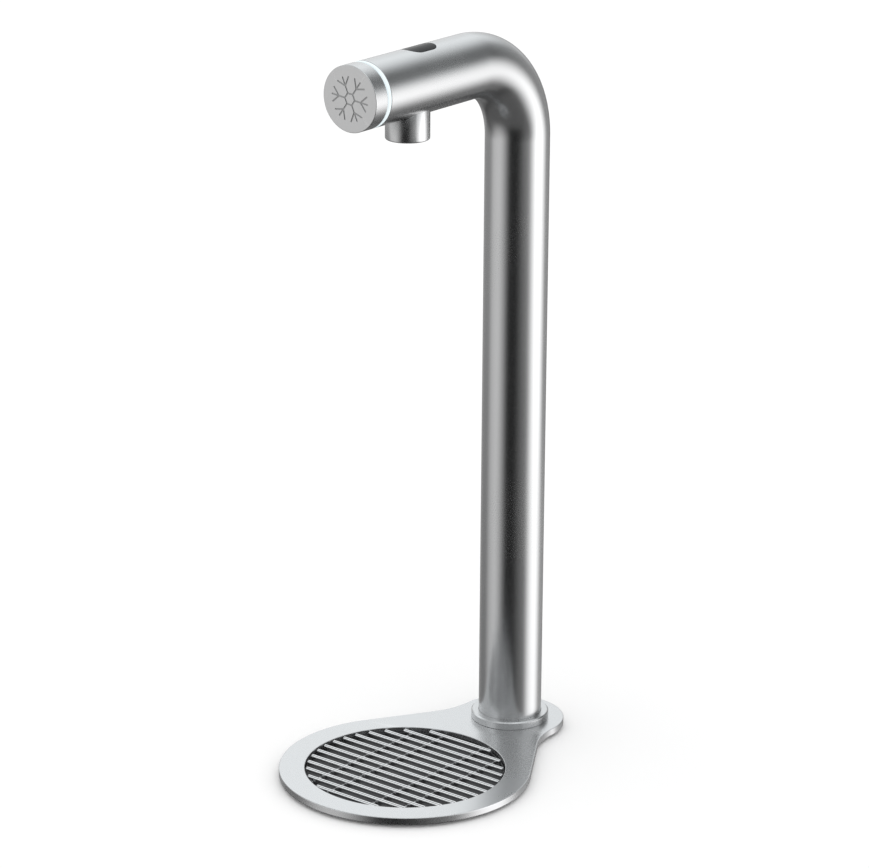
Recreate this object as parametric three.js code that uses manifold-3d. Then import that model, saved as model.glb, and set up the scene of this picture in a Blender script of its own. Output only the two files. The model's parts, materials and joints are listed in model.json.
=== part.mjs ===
// Countertop water dispenser: a bent stainless tube stands on a flat base plate with a round drip tray.
// A push button with a lit ring closes the end of the arm, and the spout hangs over the tray's centre.
//
// Millimetres, +Z up. X = 0 is the plane of symmetry and the arm points towards -Y. The origin is under the
// middle of the base plate, on the surface that the object stands on.
import * as THREE from "three";
import { mergeVertices } from "three/addons/utils/BufferGeometryUtils.js";
import Module from "manifold-3d";

// ---------------------------------------------------------------- driving dimensions

// Clearances
const SEAT_GAP = 0.1; // between flat faces that rest on each other
const FIT_GAP = 0.3; // around a piece that fits in or over a round one
const SLIDE_GAP = 0.1; // around a shaft that slides in its guide
const THREAD_GAP = 0.15; // between a screw and its hole

// Base plate and mat
const PLATE_THICKNESS = 4.5;
const TRAY_OPENING = 62.5; // radius of the round opening in the plate
const PLATE_RIM = 16; // from the opening to the plate's edge
const TRAY_LAND = 19.2; // from the opening to the collar of the tower
const LOBE_RADIUS = 34.5; // rounded back of the plate, round the tower
const NECK_RADIUS = 48; // hollow curve between the lobe and the disc
const MAT_THICKNESS = 2;
const MAT_INSET = 4.2; // how far the mat stays inside the plate's edge
const MAT_FLOOR = 0.6; // what is left of the mat under the pan
const MAT_SERVICE_HOLE = 13; // hole in the mat below the tower

// Drip pan and grille
const PAN_SIDE_GAP = 0.4;
const PAN_WALL = 1;
const PAN_FLOOR = 0.6;
const GRILLE_SINK = 0.5; // from the plate's top down to the bars' tops
const BAR_RADIUS = 1.3;
const BAR_PITCH = 8.54;
const BAR_END_GAP = 0.6; // from a bar's end to the edge of the opening
const CROSS_ROD_RADIUS = 1;
const CROSS_ROD_BITE = 0.25; // how far a cross rod is welded into the bars
const CROSS_ROD_OFFSETS = [-34.25, -15.9, 15.9, 34.25];

// Tower tube
const TUBE_RADIUS = 20;
const TUBE_WALL = 1.5;
const BEND_RADIUS = 52; // of the tube's axis
const ARM_HEIGHT = 435.2; // from the plate's top to the arm's axis
const BEND_STEPS = 10;
const ROUND_SIDES = 32; // facets round every turned piece, so that neighbours match

// Foot of the tower
const COLLAR_WIDTH = 4.4;
const COLLAR_HEIGHT = 5;
const COLLAR_CHAMFER = 0.8;
const COLLAR_SEAL = 0.7; // radius of the O-ring's section
const SPIGOT_HEIGHT = 26;
const SPIGOT_WALL = 5;
const FOOT_SCREW_RADIUS = 1.45;
const FOOT_SCREW_HEAD = 3;
const FOOT_SCREW_LENGTH = 16;
const FOOT_SCREW_ANGLES = [30, 150, 270]; // degrees round the tower
const GRUB_RADIUS = 1.45;
const FOOT_GRUB_HEIGHT = 2.5; // above the plate's top, behind the collar

// Spout
const SPOUT_SETBACK = 52.8; // from the button's face to the spout's axis
const SPOUT_RADIUS = 13.4;
const SPOUT_LENGTH = 13.4; // from the tube's underside to the spout's lower edge
const SPOUT_CHAMFER = 0.8;
const STEM_RADIUS = 6.5; // threaded neck of the elbow
const STEM_LENGTH = 6; // of the elbow's neck below the tube's underside
const ELBOW_RADIUS = 8;
const ELBOW_TOP = 2; // above the arm's axis
const ELBOW_BORE = 4;
const ELBOW_SHOULDER = 5; // from the tube's inner wall up to the elbow's shoulder
const STRAIGHTENER_RADIUS = 10.7;
const STRAIGHTENER_DEPTH = 3.9;
const STRAIGHTENER_HOLE = 0.9;
const STRAIGHTENER_PITCH = 3.6;
const OUTLET_RING_DEPTH = 1.5;
const OUTLET_RING_WIDTH = 2.3;
const SPOUT_SEAL = 0.72; // radius of the O-ring's section
const SPOUT_SEAL_PLACE = 3.4; // below the tube's underside

// Water hose and its fittings
const HOSE_RADIUS = 4;
const HOSE_BORE = 2.75;
const HOSE_ARM_OFFSET = -4; // from the arm's axis, down
const HOSE_FOOT_OFFSET = -5; // from the tower's axis, forwards
const SOCKET_WALL = 1.9; // of a fitting round the hose
const SOCKET_DEPTH = 10;
const COLLET_DEPTH = 3;
const COLLET_SKIRT = 0.5;
const COLLET_FLANGE = 1.6;
const INLET_BOTTOM = 0.5; // above the surface that the object stands on
const INLET_PORT_RADIUS = 4.6;
const INLET_PORT_DEPTH = 10.5;
const INLET_PASSAGE = 3;
const INLET_FLANGE_RADIUS = 6.9;
const INLET_FLANGE_HEIGHT = 3.2;

// Cable and its connector
const CABLE_RADIUS = 1.8;
const CABLE_ARM_OFFSET = 5.2; // from the arm's axis, up
const CABLE_FOOT_OFFSET = 7; // from the tower's axis, backwards
const CONNECTOR_RADIUS = 3.6;
const CONNECTOR_FLANGE_RADIUS = 4.4;
const CONNECTOR_FLANGE_HEIGHT = 1.6;
const CONNECTOR_HEIGHT = 15.5;
const CONNECTOR_SOCKET = 4;
const CONNECTOR_PIN = 0.4;

// Button and light ring
const CAP_DEPTH = 10.3;
const CAP_WALL = 1.1;
const CAP_FACE = 2;
const RING_BAND = 3.7; // lit band between the button and the tube
const RING_BORE = 16.4;
const RING_OVERLAP = 3; // how far the ring reaches into the button
const RING_TAIL = 2; // how far the ring reaches into the tube
const BUTTON_TRAVEL = 1.2;
const TRAVEL_SPARE = 0.2;
const BUTTON_STEM = 3;
const STEM_HEAD_RADIUS = 7.5;
const STEM_HEAD_DEPTH = 2.1;
const SPRING_RADIUS = 5;
const SPRING_WIRE = 0.45;
const SPRING_TURNS = 4;
const CLIP_RADIUS = 4.6;
const CLIP_THICKNESS = 0.7;
const CLIP_GROOVE = 2.2;
const STEM_TAIL = 2.3; // of the button's stem behind the clip
const ICON_REACH = 13.2;
const ICON_FORK = 8.1; // where an arm of the snowflake forks
const ICON_TINE = 6;
const ICON_TINE_LEAN = 46; // degrees
const ICON_HEX = 3.7; // corners of the hexagon, from its middle
const ICON_LINE = 1;
const ICON_DEPTH = 0.3;
const ICON_TURN = -6; // degrees

// Plug that carries the button, with its switch and its lights
const PLUG_LENGTH = 23;
const PLUG_RECESS = 10.5;
const PLUG_WEB = 8.9; // thickness that guides the stem
const BOARD_LEDGE = 1.5; // step that the switch board rests on
const BOARD_THICKNESS = 1.6;
const HEAD_SEAL = 0.6;
const HEAD_SEAL_PLACE = 5; // from the tube's end
const HEAD_GRUB_PLACE = 4; // from the plug's rear face
const HEAD_GRUB_LENGTH = 6.6;
const GRUB_SINK = 0.4; // below the tube's surface
const SWITCH_SIZE = 9;
const SWITCH_DEPTH = 5.4;
const PLUNGER_RADIUS = 1.6;
const PLUNGER_GRIP = 2.4; // of the plunger inside the switch
const LED_BOARD_BORE = 8.5;
const LED_BOARD_THICKNESS = 1.2;
const LED_COUNT = 6;
const LED_SIZE = [2.2, 1.4, 1.3]; // across, outwards, along the arm
const LED_LEAD_RADIUS = 0.8;
const LED_LEAD_PLACE = 9.3; // from the arm's axis, down

// Sensor window and what is under it
const WINDOW_SETBACK = 62.9; // from the button's face to the window's middle
const WINDOW_LENGTH = 24;
const WINDOW_WIDTH = 14.6;
const WINDOW_SLOT_GAP = 0.2;
const WINDOW_FLANGE = 2;
const WINDOW_FLANGE_THICKNESS = 0.8;
const GASKET_THICKNESS = 0.7;
const DECK_DROP = 9.5; // from the tube's inner wall to the sled's deck
const DECK_THICKNESS = 1.5;
const DECK_HALF_WIDTH = 12;
const DECK_BACK = 17; // behind the window's middle
const SLED_FLANGE = 3;
const SLED_BORE = 11;
const SLED_SCREW_RADIUS = 1.15;
const SLED_SCREW_HEAD = 2.1;
const SLED_SCREW_HEAD_HEIGHT = 1.4;
const SLED_SCREW_BITE = 6;
const SLED_SCREW_PLACE = 14.9; // from the arm's axis, to each side
const SENSOR_BOARD_HALF_WIDTH = 9;
const SENSOR_BOARD_HALF_LENGTH = 14;
const SENSOR_BOARD_THICKNESS = 1.4;
const SENSOR_PLACE = 5; // each side of the window's middle
const EMITTER_RADIUS = 2;
const RECEIVER_SIZE = 5;
const SENSOR_HEADROOM = 0.8; // left under the window

// ---------------------------------------------------------------- sizes that follow

const tubeBore = TUBE_RADIUS - TUBE_WALL;
const plateBottom = MAT_THICKNESS + SEAT_GAP;
const plateTop = plateBottom + PLATE_THICKNESS;
const armZ = plateTop + ARM_HEIGHT;
const collarBore = TUBE_RADIUS + FIT_GAP;
const collarRadius = collarBore + COLLAR_WIDTH;
const spoutReach = collarRadius + TRAY_LAND + TRAY_OPENING; // tower's axis to the spout and to the tray's centre
const armReach = spoutReach + SPOUT_SETBACK; // tower's axis to the button's face
const plateRadius = TRAY_OPENING + PLATE_RIM;
const plateFront = spoutReach + plateRadius;
const towerY = (plateFront - LOBE_RADIUS) / 2; // puts the middle of the plate at Y = 0

const capBack = armReach - CAP_DEPTH;
const tubeEnd = capBack - RING_BAND;
const ringNeck = TUBE_RADIUS - CAP_WALL - FIT_GAP;
const plugRadius = tubeBore - FIT_GAP;
const plugRear = tubeEnd - PLUG_LENGTH;
const plugFront = tubeEnd - SEAT_GAP;
const webRear = plugFront - PLUG_WEB;
const ledBoardRear = plugFront + FIT_GAP;
const boardRear = plugRear + SEAT_GAP;
const boardFront = boardRear + BOARD_THICKNESS;
const switchRear = boardFront + SEAT_GAP;
const switchFront = switchRear + SWITCH_DEPTH;
const stemFront = armReach - CAP_FACE - SEAT_GAP;
const stemShoulder = stemFront - STEM_HEAD_DEPTH;
const clipFront = webRear - SEAT_GAP;
const stemRear = clipFront - CLIP_THICKNESS - STEM_TAIL;
const windowPlace = armReach - WINDOW_SETBACK;
const windowInner = tubeBore - FIT_GAP - GASKET_THICKNESS - SEAT_GAP - WINDOW_FLANGE_THICKNESS;
const deckTop = tubeBore - DECK_DROP;
const spoutBottom = -(TUBE_RADIUS + SPOUT_LENGTH); // from the arm's axis
const stemEnd = -(TUBE_RADIUS + STEM_LENGTH);
const socketBore = HOSE_RADIUS + FIT_GAP;
const socketRadius = socketBore + SOCKET_WALL;
const spigotRadius = tubeBore - FIT_GAP;
const spigotBore = spigotRadius - SPIGOT_WALL;
const inletFlange = plateTop + SEAT_GAP;
const inletSocket = inletFlange + INLET_FLANGE_HEIGHT + INLET_PASSAGE;
const inletTop = inletSocket + SOCKET_DEPTH;
const connectorTop = plateTop + SEAT_GAP + CONNECTOR_HEIGHT - PLATE_THICKNESS;
const boreLength = 4 * TUBE_RADIUS; // longer than anything it cuts through

// ---------------------------------------------------------------- solids

const wasm = await Module();
wasm.setup();

// A closed three.js geometry as a solid that can be joined and cut.
function solid(geometry) {
  geometry.deleteAttribute("normal");
  geometry.deleteAttribute("uv");
  const merged = mergeVertices(geometry, 1e-4);
  const corners = merged.index.array;
  const kept = [];
  for (let i = 0; i < corners.length; i += 3) {
    const [a, b, c] = [corners[i], corners[i + 1], corners[i + 2]];
    if (a !== b && b !== c && c !== a) kept.push(a, b, c);
  }
  const vertProperties = merged.attributes.position.array;
  return new wasm.Manifold(new wasm.Mesh({ numProp: 3, vertProperties, triVerts: new Uint32Array(kept) }));
}

function geometryOf(made) {
  const { vertProperties, triVerts } = made.getMesh();
  const geometry = new THREE.BufferGeometry();
  geometry.setAttribute("position", new THREE.BufferAttribute(vertProperties, 3));
  geometry.setIndex(new THREE.BufferAttribute(triVerts, 1));
  const faceted = geometry.toNonIndexed();
  faceted.computeVertexNormals();
  return faceted;
}

const joined = (first, ...others) => others.reduce((sum, next) => sum.add(next), first);
const cut = (body, ...tools) => tools.reduce((rest, tool) => rest.subtract(tool), body);

// A turned piece about +Z. The profile is a loop of [radius, height] corners; it may run along the axis.
function turned(profile, sides = ROUND_SIDES) {
  const corners = profile.map(([r, z]) => new THREE.Vector2(r, z));
  if (THREE.ShapeUtils.area(corners) < 0) corners.reverse();
  const onAxis = corners.findIndex((p, i) => p.x === 0 && corners.at(i - 1).x === 0);
  const loop = onAxis < 0 ? [...corners, corners[0]] : [...corners.slice(onAxis), ...corners.slice(0, onAxis)];
  return solid(new THREE.LatheGeometry(loop, sides).rotateX(Math.PI / 2));
}

const rod = (r, z0, z1, sides = 16) => turned([[0, z0], [r, z0], [r, z1], [0, z1]], sides);
const ring = (r0, r1, z0, z1, sides = ROUND_SIDES) => turned([[r0, z0], [r1, z0], [r1, z1], [r0, z1]], sides);
const moved = (made, x, y, z) => made.translate([x, y, z]);
const block = (sx, sy, z0, z1) => solid(new THREE.BoxGeometry(sx, sy, z1 - z0).translate(0, 0, (z0 + z1) / 2));

// An O-ring about +Z.
function sealRing(radius, section, z) {
  const sides = 6;
  const profile = Array.from({ length: sides }, (_, i) => {
    const a = (2 * Math.PI * i) / sides;
    return [radius + section * Math.cos(a), z + section * Math.sin(a)];
  });
  return turned(profile);
}

function extruded(shape, z0, z1, curveSegments = 24) {
  const options = { depth: z1 - z0, bevelEnabled: false, curveSegments };
  return solid(new THREE.ExtrudeGeometry(shape, options).translate(0, 0, z0));
}

function circlePath(radius, x = 0, y = 0) {
  return new THREE.Path().absarc(x, y, radius, 0, 2 * Math.PI, true);
}

function discShape(radius, ...holes) {
  const shape = new THREE.Shape().absarc(0, 0, radius, 0, 2 * Math.PI, false);
  shape.holes.push(...holes);
  return shape;
}

// A slot with round ends, long in Y.
function slotShape(width, length) {
  const r = width / 2;
  const straight = length / 2 - r;
  const shape = new THREE.Shape();
  shape.absarc(0, straight, r, 0, Math.PI, false);
  shape.absarc(0, -straight, r, Math.PI, 2 * Math.PI, false);
  shape.closePath();
  return shape;
}

// A path in the plane X = 0 that climbs the tower, turns in an arc and runs out along the arm. Its straight
// stretches take one step each, so that the steps gather in the bend.
class TowerPath extends THREE.Curve {
  constructor({ foot, footY, armOffset, reach, steps = BEND_STEPS }) {
    super();
    this.steps = steps + 2;
    const bend = BEND_RADIUS + armOffset;
    const centre = [-BEND_RADIUS, armZ - BEND_RADIUS];
    this.stations = [[footY, foot]];
    for (let i = 0; i <= steps; i++) {
      const a = (Math.PI / 2) * (i / steps);
      this.stations.push([centre[0] + bend * Math.cos(a), centre[1] + bend * Math.sin(a)]);
    }
    this.stations.push([-reach, armZ + armOffset]);
  }
  getPointAt(u) {
    const at = u * this.steps;
    const i = Math.min(Math.floor(at), this.steps - 1);
    const [[y0, z0], [y1, z1]] = [this.stations[i], this.stations[i + 1]];
    return new THREE.Vector3(0, y0 + (y1 - y0) * (at - i), z0 + (z1 - z0) * (at - i));
  }
  getTangentAt(u) {
    const i = Math.round(u * this.steps);
    const before = this.stations[Math.max(i - 1, 0)];
    const after = this.stations[Math.min(i + 1, this.steps)];
    const here = this.stations[i];
    const into = new THREE.Vector3(0, here[0] - before[0], here[1] - before[1]).normalize();
    const out = new THREE.Vector3(0, after[0] - here[0], after[1] - here[1]).normalize();
    return into.add(out).normalize();
  }
}

const alongTower = (shape, path, curveSegments) =>
  solid(new THREE.ExtrudeGeometry(shape, { steps: path.steps, extrudePath: path, curveSegments }));

const hexSocket = (acrossFlats, z0, z1) => rod(acrossFlats / Math.sqrt(3), z0, z1, 6);
const atAngle = (made, radius, degrees) => {
  const a = THREE.MathUtils.degToRad(degrees);
  return made.translate([radius * Math.cos(a), radius * Math.sin(a), 0]);
};

// ---------------------------------------------------------------- materials

const finish = (color, metalness, roughness, extra = {}) =>
  new THREE.MeshStandardMaterial({ color, metalness, roughness, ...extra });
const satinSteel = finish(0xb9babb, 1, 0.32);
const brightSteel = finish(0xc6c7c8, 1, 0.18);
const brass = finish(0xb08d4a, 1, 0.35);
const blackPlastic = finish(0x1b1c1e, 0, 0.55);
const whitePlastic = finish(0xe6e6e2, 0, 0.5);
const darkAcrylic = finish(0x2c2d30, 0, 0.15);
const litAcrylic = finish(0xf4fbff, 0, 0.35, { emissive: 0xdff3ff, emissiveIntensity: 1 });
const silicone = finish(0x2a2b2d, 0, 0.85);
const board = finish(0x1f5a3a, 0, 0.5);
const hosePlastic = finish(0xd9dcdc, 0, 0.4);
const cableJacket = finish(0x202124, 0, 0.6);

// The scene graph: everything but the arm's own pieces is placed from the tower's axis, and the arm's pieces
// from the arm's axis, with +Z pointing out along the arm and +Y up.
const dispenser = new THREE.Group();
const tower = new THREE.Group();
tower.position.y = towerY;
const arm = new THREE.Group();
arm.rotation.x = Math.PI / 2;
arm.position.z = armZ;
const spout = new THREE.Group();
spout.position.set(0, -spoutReach, armZ);
tower.add(arm, spout);
dispenser.add(tower);

function place(group, name, made, material) {
  const mesh = new THREE.Mesh(geometryOf(made), material);
  mesh.name = name;
  group.add(mesh);
}

// ---------------------------------------------------------------- base

// The outline of the plate, drawn in by an inset: a lobe round the tower, a hollow neck, a straight tangent
// and the disc under the spout.
function plateShape(inset = 0) {
  const widest = (LOBE_RADIUS ** 2 + spoutReach ** 2 - plateRadius ** 2) / (2 * (plateRadius - LOBE_RADIUS));
  const neck = Math.min(NECK_RADIUS, 0.98 * widest);
  const neckX = LOBE_RADIUS + neck;
  const apart = Math.hypot(neckX, spoutReach);
  const tangent = Math.atan2(spoutReach, neckX) - Math.acos((neck + plateRadius) / apart);
  const shape = new THREE.Shape();
  shape.absarc(0, 0, LOBE_RADIUS - inset, 0, Math.PI, false);
  shape.absarc(-neckX, 0, neck + inset, 0, -tangent, true);
  shape.absarc(0, -spoutReach, plateRadius - inset, Math.PI - tangent, tangent, false);
  shape.absarc(neckX, 0, neck + inset, Math.PI + tangent, Math.PI, true);
  shape.closePath();
  return shape;
}

const footScrewPlace = spigotBore + SPIGOT_WALL / 2;
const footScrews = (made) => FOOT_SCREW_ANGLES.map((angle) => atAngle(made, footScrewPlace, angle));
const headDepth = FOOT_SCREW_HEAD - FOOT_SCREW_RADIUS; // a 90 degree countersunk head

function basePlate() {
  const shape = plateShape();
  shape.holes.push(
    circlePath(TRAY_OPENING, 0, -spoutReach),
    circlePath(socketRadius + FIT_GAP, 0, HOSE_FOOT_OFFSET),
    circlePath(CONNECTOR_RADIUS + FIT_GAP, 0, CABLE_FOOT_OFFSET),
  );
  const bore = FOOT_SCREW_RADIUS + FIT_GAP;
  const mouth = FOOT_SCREW_HEAD + FIT_GAP;
  const screwHole = turned([
    [0, plateBottom - 1],
    [mouth, plateBottom - 1],
    [mouth, plateBottom + SEAT_GAP],
    [bore, plateBottom + SEAT_GAP + mouth - bore],
    [bore, plateTop + 1],
    [0, plateTop + 1],
  ], 16);
  return cut(extruded(shape, plateBottom, plateTop, 16), ...footScrews(screwHole));
}

function baseMat() {
  const shape = plateShape(MAT_INSET);
  shape.holes.push(circlePath(MAT_SERVICE_HOLE));
  const recess = rod(TRAY_OPENING, MAT_FLOOR, MAT_THICKNESS + 1, 64);
  return cut(extruded(shape, 0, MAT_THICKNESS, 16), moved(recess, 0, -spoutReach, 0));
}

const barAxis = plateTop - GRILLE_SINK - BAR_RADIUS;
const panRadius = TRAY_OPENING - PAN_SIDE_GAP;
const panBore = panRadius - PAN_WALL;

function dripPan() {
  const bottom = MAT_FLOOR + SEAT_GAP;
  const rim = barAxis - BAR_RADIUS - SEAT_GAP;
  const profile = [
    [0, bottom],
    [panRadius - PAN_WALL / 2, bottom],
    [panRadius, bottom + PAN_WALL / 2],
    [panRadius, rim],
    [panBore, rim],
    [panBore, bottom + PAN_FLOOR],
    [0, bottom + PAN_FLOOR],
  ];
  return moved(turned(profile, 2 * ROUND_SIDES), 0, -spoutReach, 0);
}

// Round bars across the tray, welded on four cross rods that run towards the tower.
function dripGrille() {
  const barReach = TRAY_OPENING - BAR_END_GAP;
  const rodReach = panBore - FIT_GAP;
  const pieces = [];
  for (let y = BAR_PITCH / 2; y < barReach - BAR_RADIUS; y += BAR_PITCH) {
    const half = Math.sqrt(barReach ** 2 - (y + BAR_RADIUS) ** 2);
    const bar = rod(BAR_RADIUS, -half, half, 8).rotate([0, 90, 0]);
    pieces.push(moved(bar, 0, y, barAxis), moved(bar, 0, -y, barAxis));
  }
  const rodAxis = barAxis - BAR_RADIUS + CROSS_ROD_BITE - CROSS_ROD_RADIUS;
  for (const x of CROSS_ROD_OFFSETS) {
    const half = Math.sqrt(rodReach ** 2 - (Math.abs(x) + CROSS_ROD_RADIUS) ** 2);
    pieces.push(moved(rod(CROSS_ROD_RADIUS, -half, half, 6).rotate([90, 0, 0]), x, 0, rodAxis));
  }
  return moved(joined(...pieces), 0, -spoutReach, 0);
}

place(tower, "base_plate", basePlate(), satinSteel);
place(tower, "base_mat", baseMat(), silicone);
place(tower, "drip_pan", dripPan(), blackPlastic);
place(tower, "drip_grille", dripGrille(), brightSteel);

// ---------------------------------------------------------------- tower and foot

const windowSlot = slotShape(WINDOW_WIDTH + 2 * WINDOW_SLOT_GAP, WINDOW_LENGTH + 2 * WINDOW_SLOT_GAP);
const stemHole = STEM_RADIUS + FIT_GAP;
const grubHole = GRUB_RADIUS + THREAD_GAP;

function towerTube() {
  const path = new TowerPath({ foot: plateTop + SEAT_GAP, footY: 0, armOffset: 0, reach: tubeEnd });
  const wall = alongTower(discShape(TUBE_RADIUS, circlePath(tubeBore)), path, ROUND_SIDES / 2);
  const slot = moved(extruded(windowSlot, armZ, armZ + boreLength, 12), 0, -windowPlace, 0);
  const spoutHole = moved(rod(stemHole, armZ - boreLength, armZ, ROUND_SIDES), 0, -spoutReach, 0);
  const headGrubHole = moved(rod(grubHole, armZ - boreLength, armZ, 16), 0, -(plugRear + HEAD_GRUB_PLACE), 0);
  const footGrubHole = moved(rod(grubHole, -boreLength, 0, 16).rotate([90, 0, 0]), 0, 0, plateTop + FOOT_GRUB_HEIGHT);
  return cut(wall, slot, spoutHole, headGrubHole, footGrubHole);
}

const sealGroove = 2 * COLLAR_SEAL + 2 * SEAT_GAP;
const collarSealRadius = collarBore + COLLAR_WIDTH / 2;

function footCollar() {
  const foot = plateTop + SEAT_GAP;
  const top = plateTop + COLLAR_HEIGHT;
  return turned([
    [collarBore, foot],
    [collarSealRadius - sealGroove / 2, foot],
    [collarSealRadius - sealGroove / 2, foot + sealGroove],
    [collarSealRadius + sealGroove / 2, foot + sealGroove],
    [collarSealRadius + sealGroove / 2, foot],
    [collarRadius, foot],
    [collarRadius, top - COLLAR_CHAMFER],
    [collarRadius - COLLAR_CHAMFER, top],
    [collarBore, top],
  ]);
}

function towerSpigot() {
  const foot = plateTop + SEAT_GAP;
  const body = ring(spigotBore, spigotRadius, foot, plateTop + SPIGOT_HEIGHT);
  const threads = rod(FOOT_SCREW_RADIUS + THREAD_GAP, plateTop - 1, plateTop + FOOT_SCREW_LENGTH, 16);
  const grub = moved(rod(grubHole, -boreLength, 0, 16).rotate([90, 0, 0]), 0, 0, plateTop + FOOT_GRUB_HEIGHT);
  return cut(body, ...footScrews(threads), grub);
}

// A countersunk screw whose head points down.
function footScrew() {
  const head = plateBottom + SEAT_GAP;
  const body = turned([
    [0, head],
    [FOOT_SCREW_HEAD, head],
    [FOOT_SCREW_RADIUS, head + headDepth],
    [FOOT_SCREW_RADIUS, head + FOOT_SCREW_LENGTH],
    [0, head + FOOT_SCREW_LENGTH],
  ], 16);
  return cut(body, hexSocket(2, head - 1, head + 1.2));
}

// A headless screw along +Z that starts at z0 and has its hexagon socket at z1.
const grubScrew = (z0, z1) => cut(rod(GRUB_RADIUS, z0, z1, 16), hexSocket(1.5, z1 - 1.6, z1 + 1));

const footGrub = grubScrew(spigotBore + 1, TUBE_RADIUS - GRUB_SINK).rotate([-90, 0, 0]);

place(tower, "tower_tube", towerTube(), satinSteel);
place(tower, "foot_collar", footCollar(), satinSteel);
const collarSealHeight = plateTop + SEAT_GAP + sealGroove / 2;
place(tower, "collar_oring", sealRing(collarSealRadius, COLLAR_SEAL, collarSealHeight), silicone);
place(tower, "tower_spigot", towerSpigot(), satinSteel);
footScrews(footScrew()).forEach((made, i) => place(tower, `foot_screw_${i + 1}`, made, brightSteel));
place(tower, "foot_grub_screw", moved(footGrub, 0, 0, plateTop + FOOT_GRUB_HEIGHT), brightSteel);

// ---------------------------------------------------------------- water and cable

const colletSeat = socketBore + COLLET_SKIRT + SEAT_GAP;

// The mouth of a push-in socket that ends at z: the hose's bore and the wider seat of its collet.
const hoseSocket = (z) => joined(
  rod(socketBore, z - SOCKET_DEPTH, z + 1),
  rod(colletSeat, z - COLLET_DEPTH, z + 1),
);

function collet(z) {
  const grip = socketBore - FIT_GAP + SLIDE_GAP;
  return turned([
    [grip, z - COLLET_DEPTH + SEAT_GAP],
    [socketBore + COLLET_SKIRT, z - COLLET_DEPTH + SEAT_GAP],
    [socketBore + COLLET_SKIRT, z + SEAT_GAP],
    [socketRadius, z + SEAT_GAP],
    [socketRadius, z + SEAT_GAP + COLLET_FLANGE],
    [grip, z + SEAT_GAP + COLLET_FLANGE],
  ], 16);
}

// A straight fitting screwed into the plate: the supply comes up into its port and the hose goes in above.
function inletFitting() {
  const body = turned([
    [0, INLET_BOTTOM],
    [socketRadius, INLET_BOTTOM],
    [socketRadius, inletFlange],
    [INLET_FLANGE_RADIUS, inletFlange],
    [INLET_FLANGE_RADIUS, inletFlange + INLET_FLANGE_HEIGHT],
    [socketRadius, inletFlange + INLET_FLANGE_HEIGHT],
    [socketRadius, inletTop],
    [0, inletTop],
  ], 16);
  const port = rod(INLET_PORT_RADIUS, INLET_BOTTOM - 1, INLET_BOTTOM + INLET_PORT_DEPTH);
  const passage = rod(HOSE_BORE, INLET_BOTTOM, inletTop);
  return moved(cut(body, port, passage, hoseSocket(inletTop)), 0, HOSE_FOOT_OFFSET, 0);
}

function cableConnector() {
  const flange = plateTop + SEAT_GAP;
  const body = turned([
    [0, INLET_BOTTOM],
    [CONNECTOR_RADIUS, INLET_BOTTOM],
    [CONNECTOR_RADIUS, flange],
    [CONNECTOR_FLANGE_RADIUS, flange],
    [CONNECTOR_FLANGE_RADIUS, flange + CONNECTOR_FLANGE_HEIGHT],
    [CONNECTOR_RADIUS, flange + CONNECTOR_FLANGE_HEIGHT],
    [CONNECTOR_RADIUS, connectorTop],
    [0, connectorTop],
  ], 16);
  const socket = rod(CONNECTOR_RADIUS - 0.8, INLET_BOTTOM - 1, INLET_BOTTOM + CONNECTOR_SOCKET);
  const pin = rod(CONNECTOR_PIN, INLET_BOTTOM + 0.5, INLET_BOTTOM + CONNECTOR_SOCKET + 1, 8);
  const pins = [45, 135, 225, 315].map((angle) => atAngle(pin, CONNECTOR_RADIUS / 2.4, angle));
  return moved(joined(cut(body, socket), ...pins), 0, CABLE_FOOT_OFFSET, 0);
}

function waterHose() {
  const path = new TowerPath({
    foot: inletSocket + FIT_GAP,
    footY: HOSE_FOOT_OFFSET,
    armOffset: HOSE_ARM_OFFSET,
    reach: spoutReach - elbowSocket - FIT_GAP,
    steps: 10,
  });
  return alongTower(discShape(HOSE_RADIUS, circlePath(HOSE_BORE)), path, 6);
}

function cableHarness() {
  const path = new TowerPath({
    foot: connectorTop + FIT_GAP,
    footY: CABLE_FOOT_OFFSET,
    armOffset: CABLE_ARM_OFFSET,
    reach: boardRear - FIT_GAP,
    steps: 12,
  });
  return alongTower(discShape(CABLE_RADIUS), path, 4);
}

// ---------------------------------------------------------------- spout, placed from the arm's axis above it

const elbowSocket = ELBOW_RADIUS + 1; // from the spout's axis to where the hose starts
const elbowMouth = elbowSocket + SOCKET_DEPTH;
const elbowShoulder = -(tubeBore - ELBOW_SHOULDER);
const towardsTower = (made) => moved(made.rotate([-90, 0, 0]), 0, 0, HOSE_ARM_OFFSET);
const armCylinder = (r, length = boreLength) => rod(r, -length, length, 2 * ROUND_SIDES).rotate([90, 0, 0]);

function nozzleElbow() {
  const body = joined(
    rod(ELBOW_RADIUS, elbowShoulder, ELBOW_TOP, ROUND_SIDES),
    rod(STEM_RADIUS, stemEnd, elbowShoulder + 1, ROUND_SIDES),
    towardsTower(rod(socketRadius, 0, elbowMouth, 16)),
  );
  const downBore = rod(ELBOW_BORE, stemEnd - 1, HOSE_ARM_OFFSET + HOSE_BORE);
  const sideBore = towardsTower(joined(rod(HOSE_BORE, 0, elbowMouth), hoseSocket(elbowMouth)));
  return cut(body, downBore, sideBore);
}

const saddleWasher = () =>
  ring(stemHole, ELBOW_RADIUS, -tubeBore, elbowShoulder - SEAT_GAP)
    .intersect(armCylinder(tubeBore - FIT_GAP));

const straightenerTop = OUTLET_RING_DEPTH + STRAIGHTENER_DEPTH + 2 * FIT_GAP;
const spoutSealHeight = -(TUBE_RADIUS + SPOUT_SEAL_PLACE);

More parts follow.
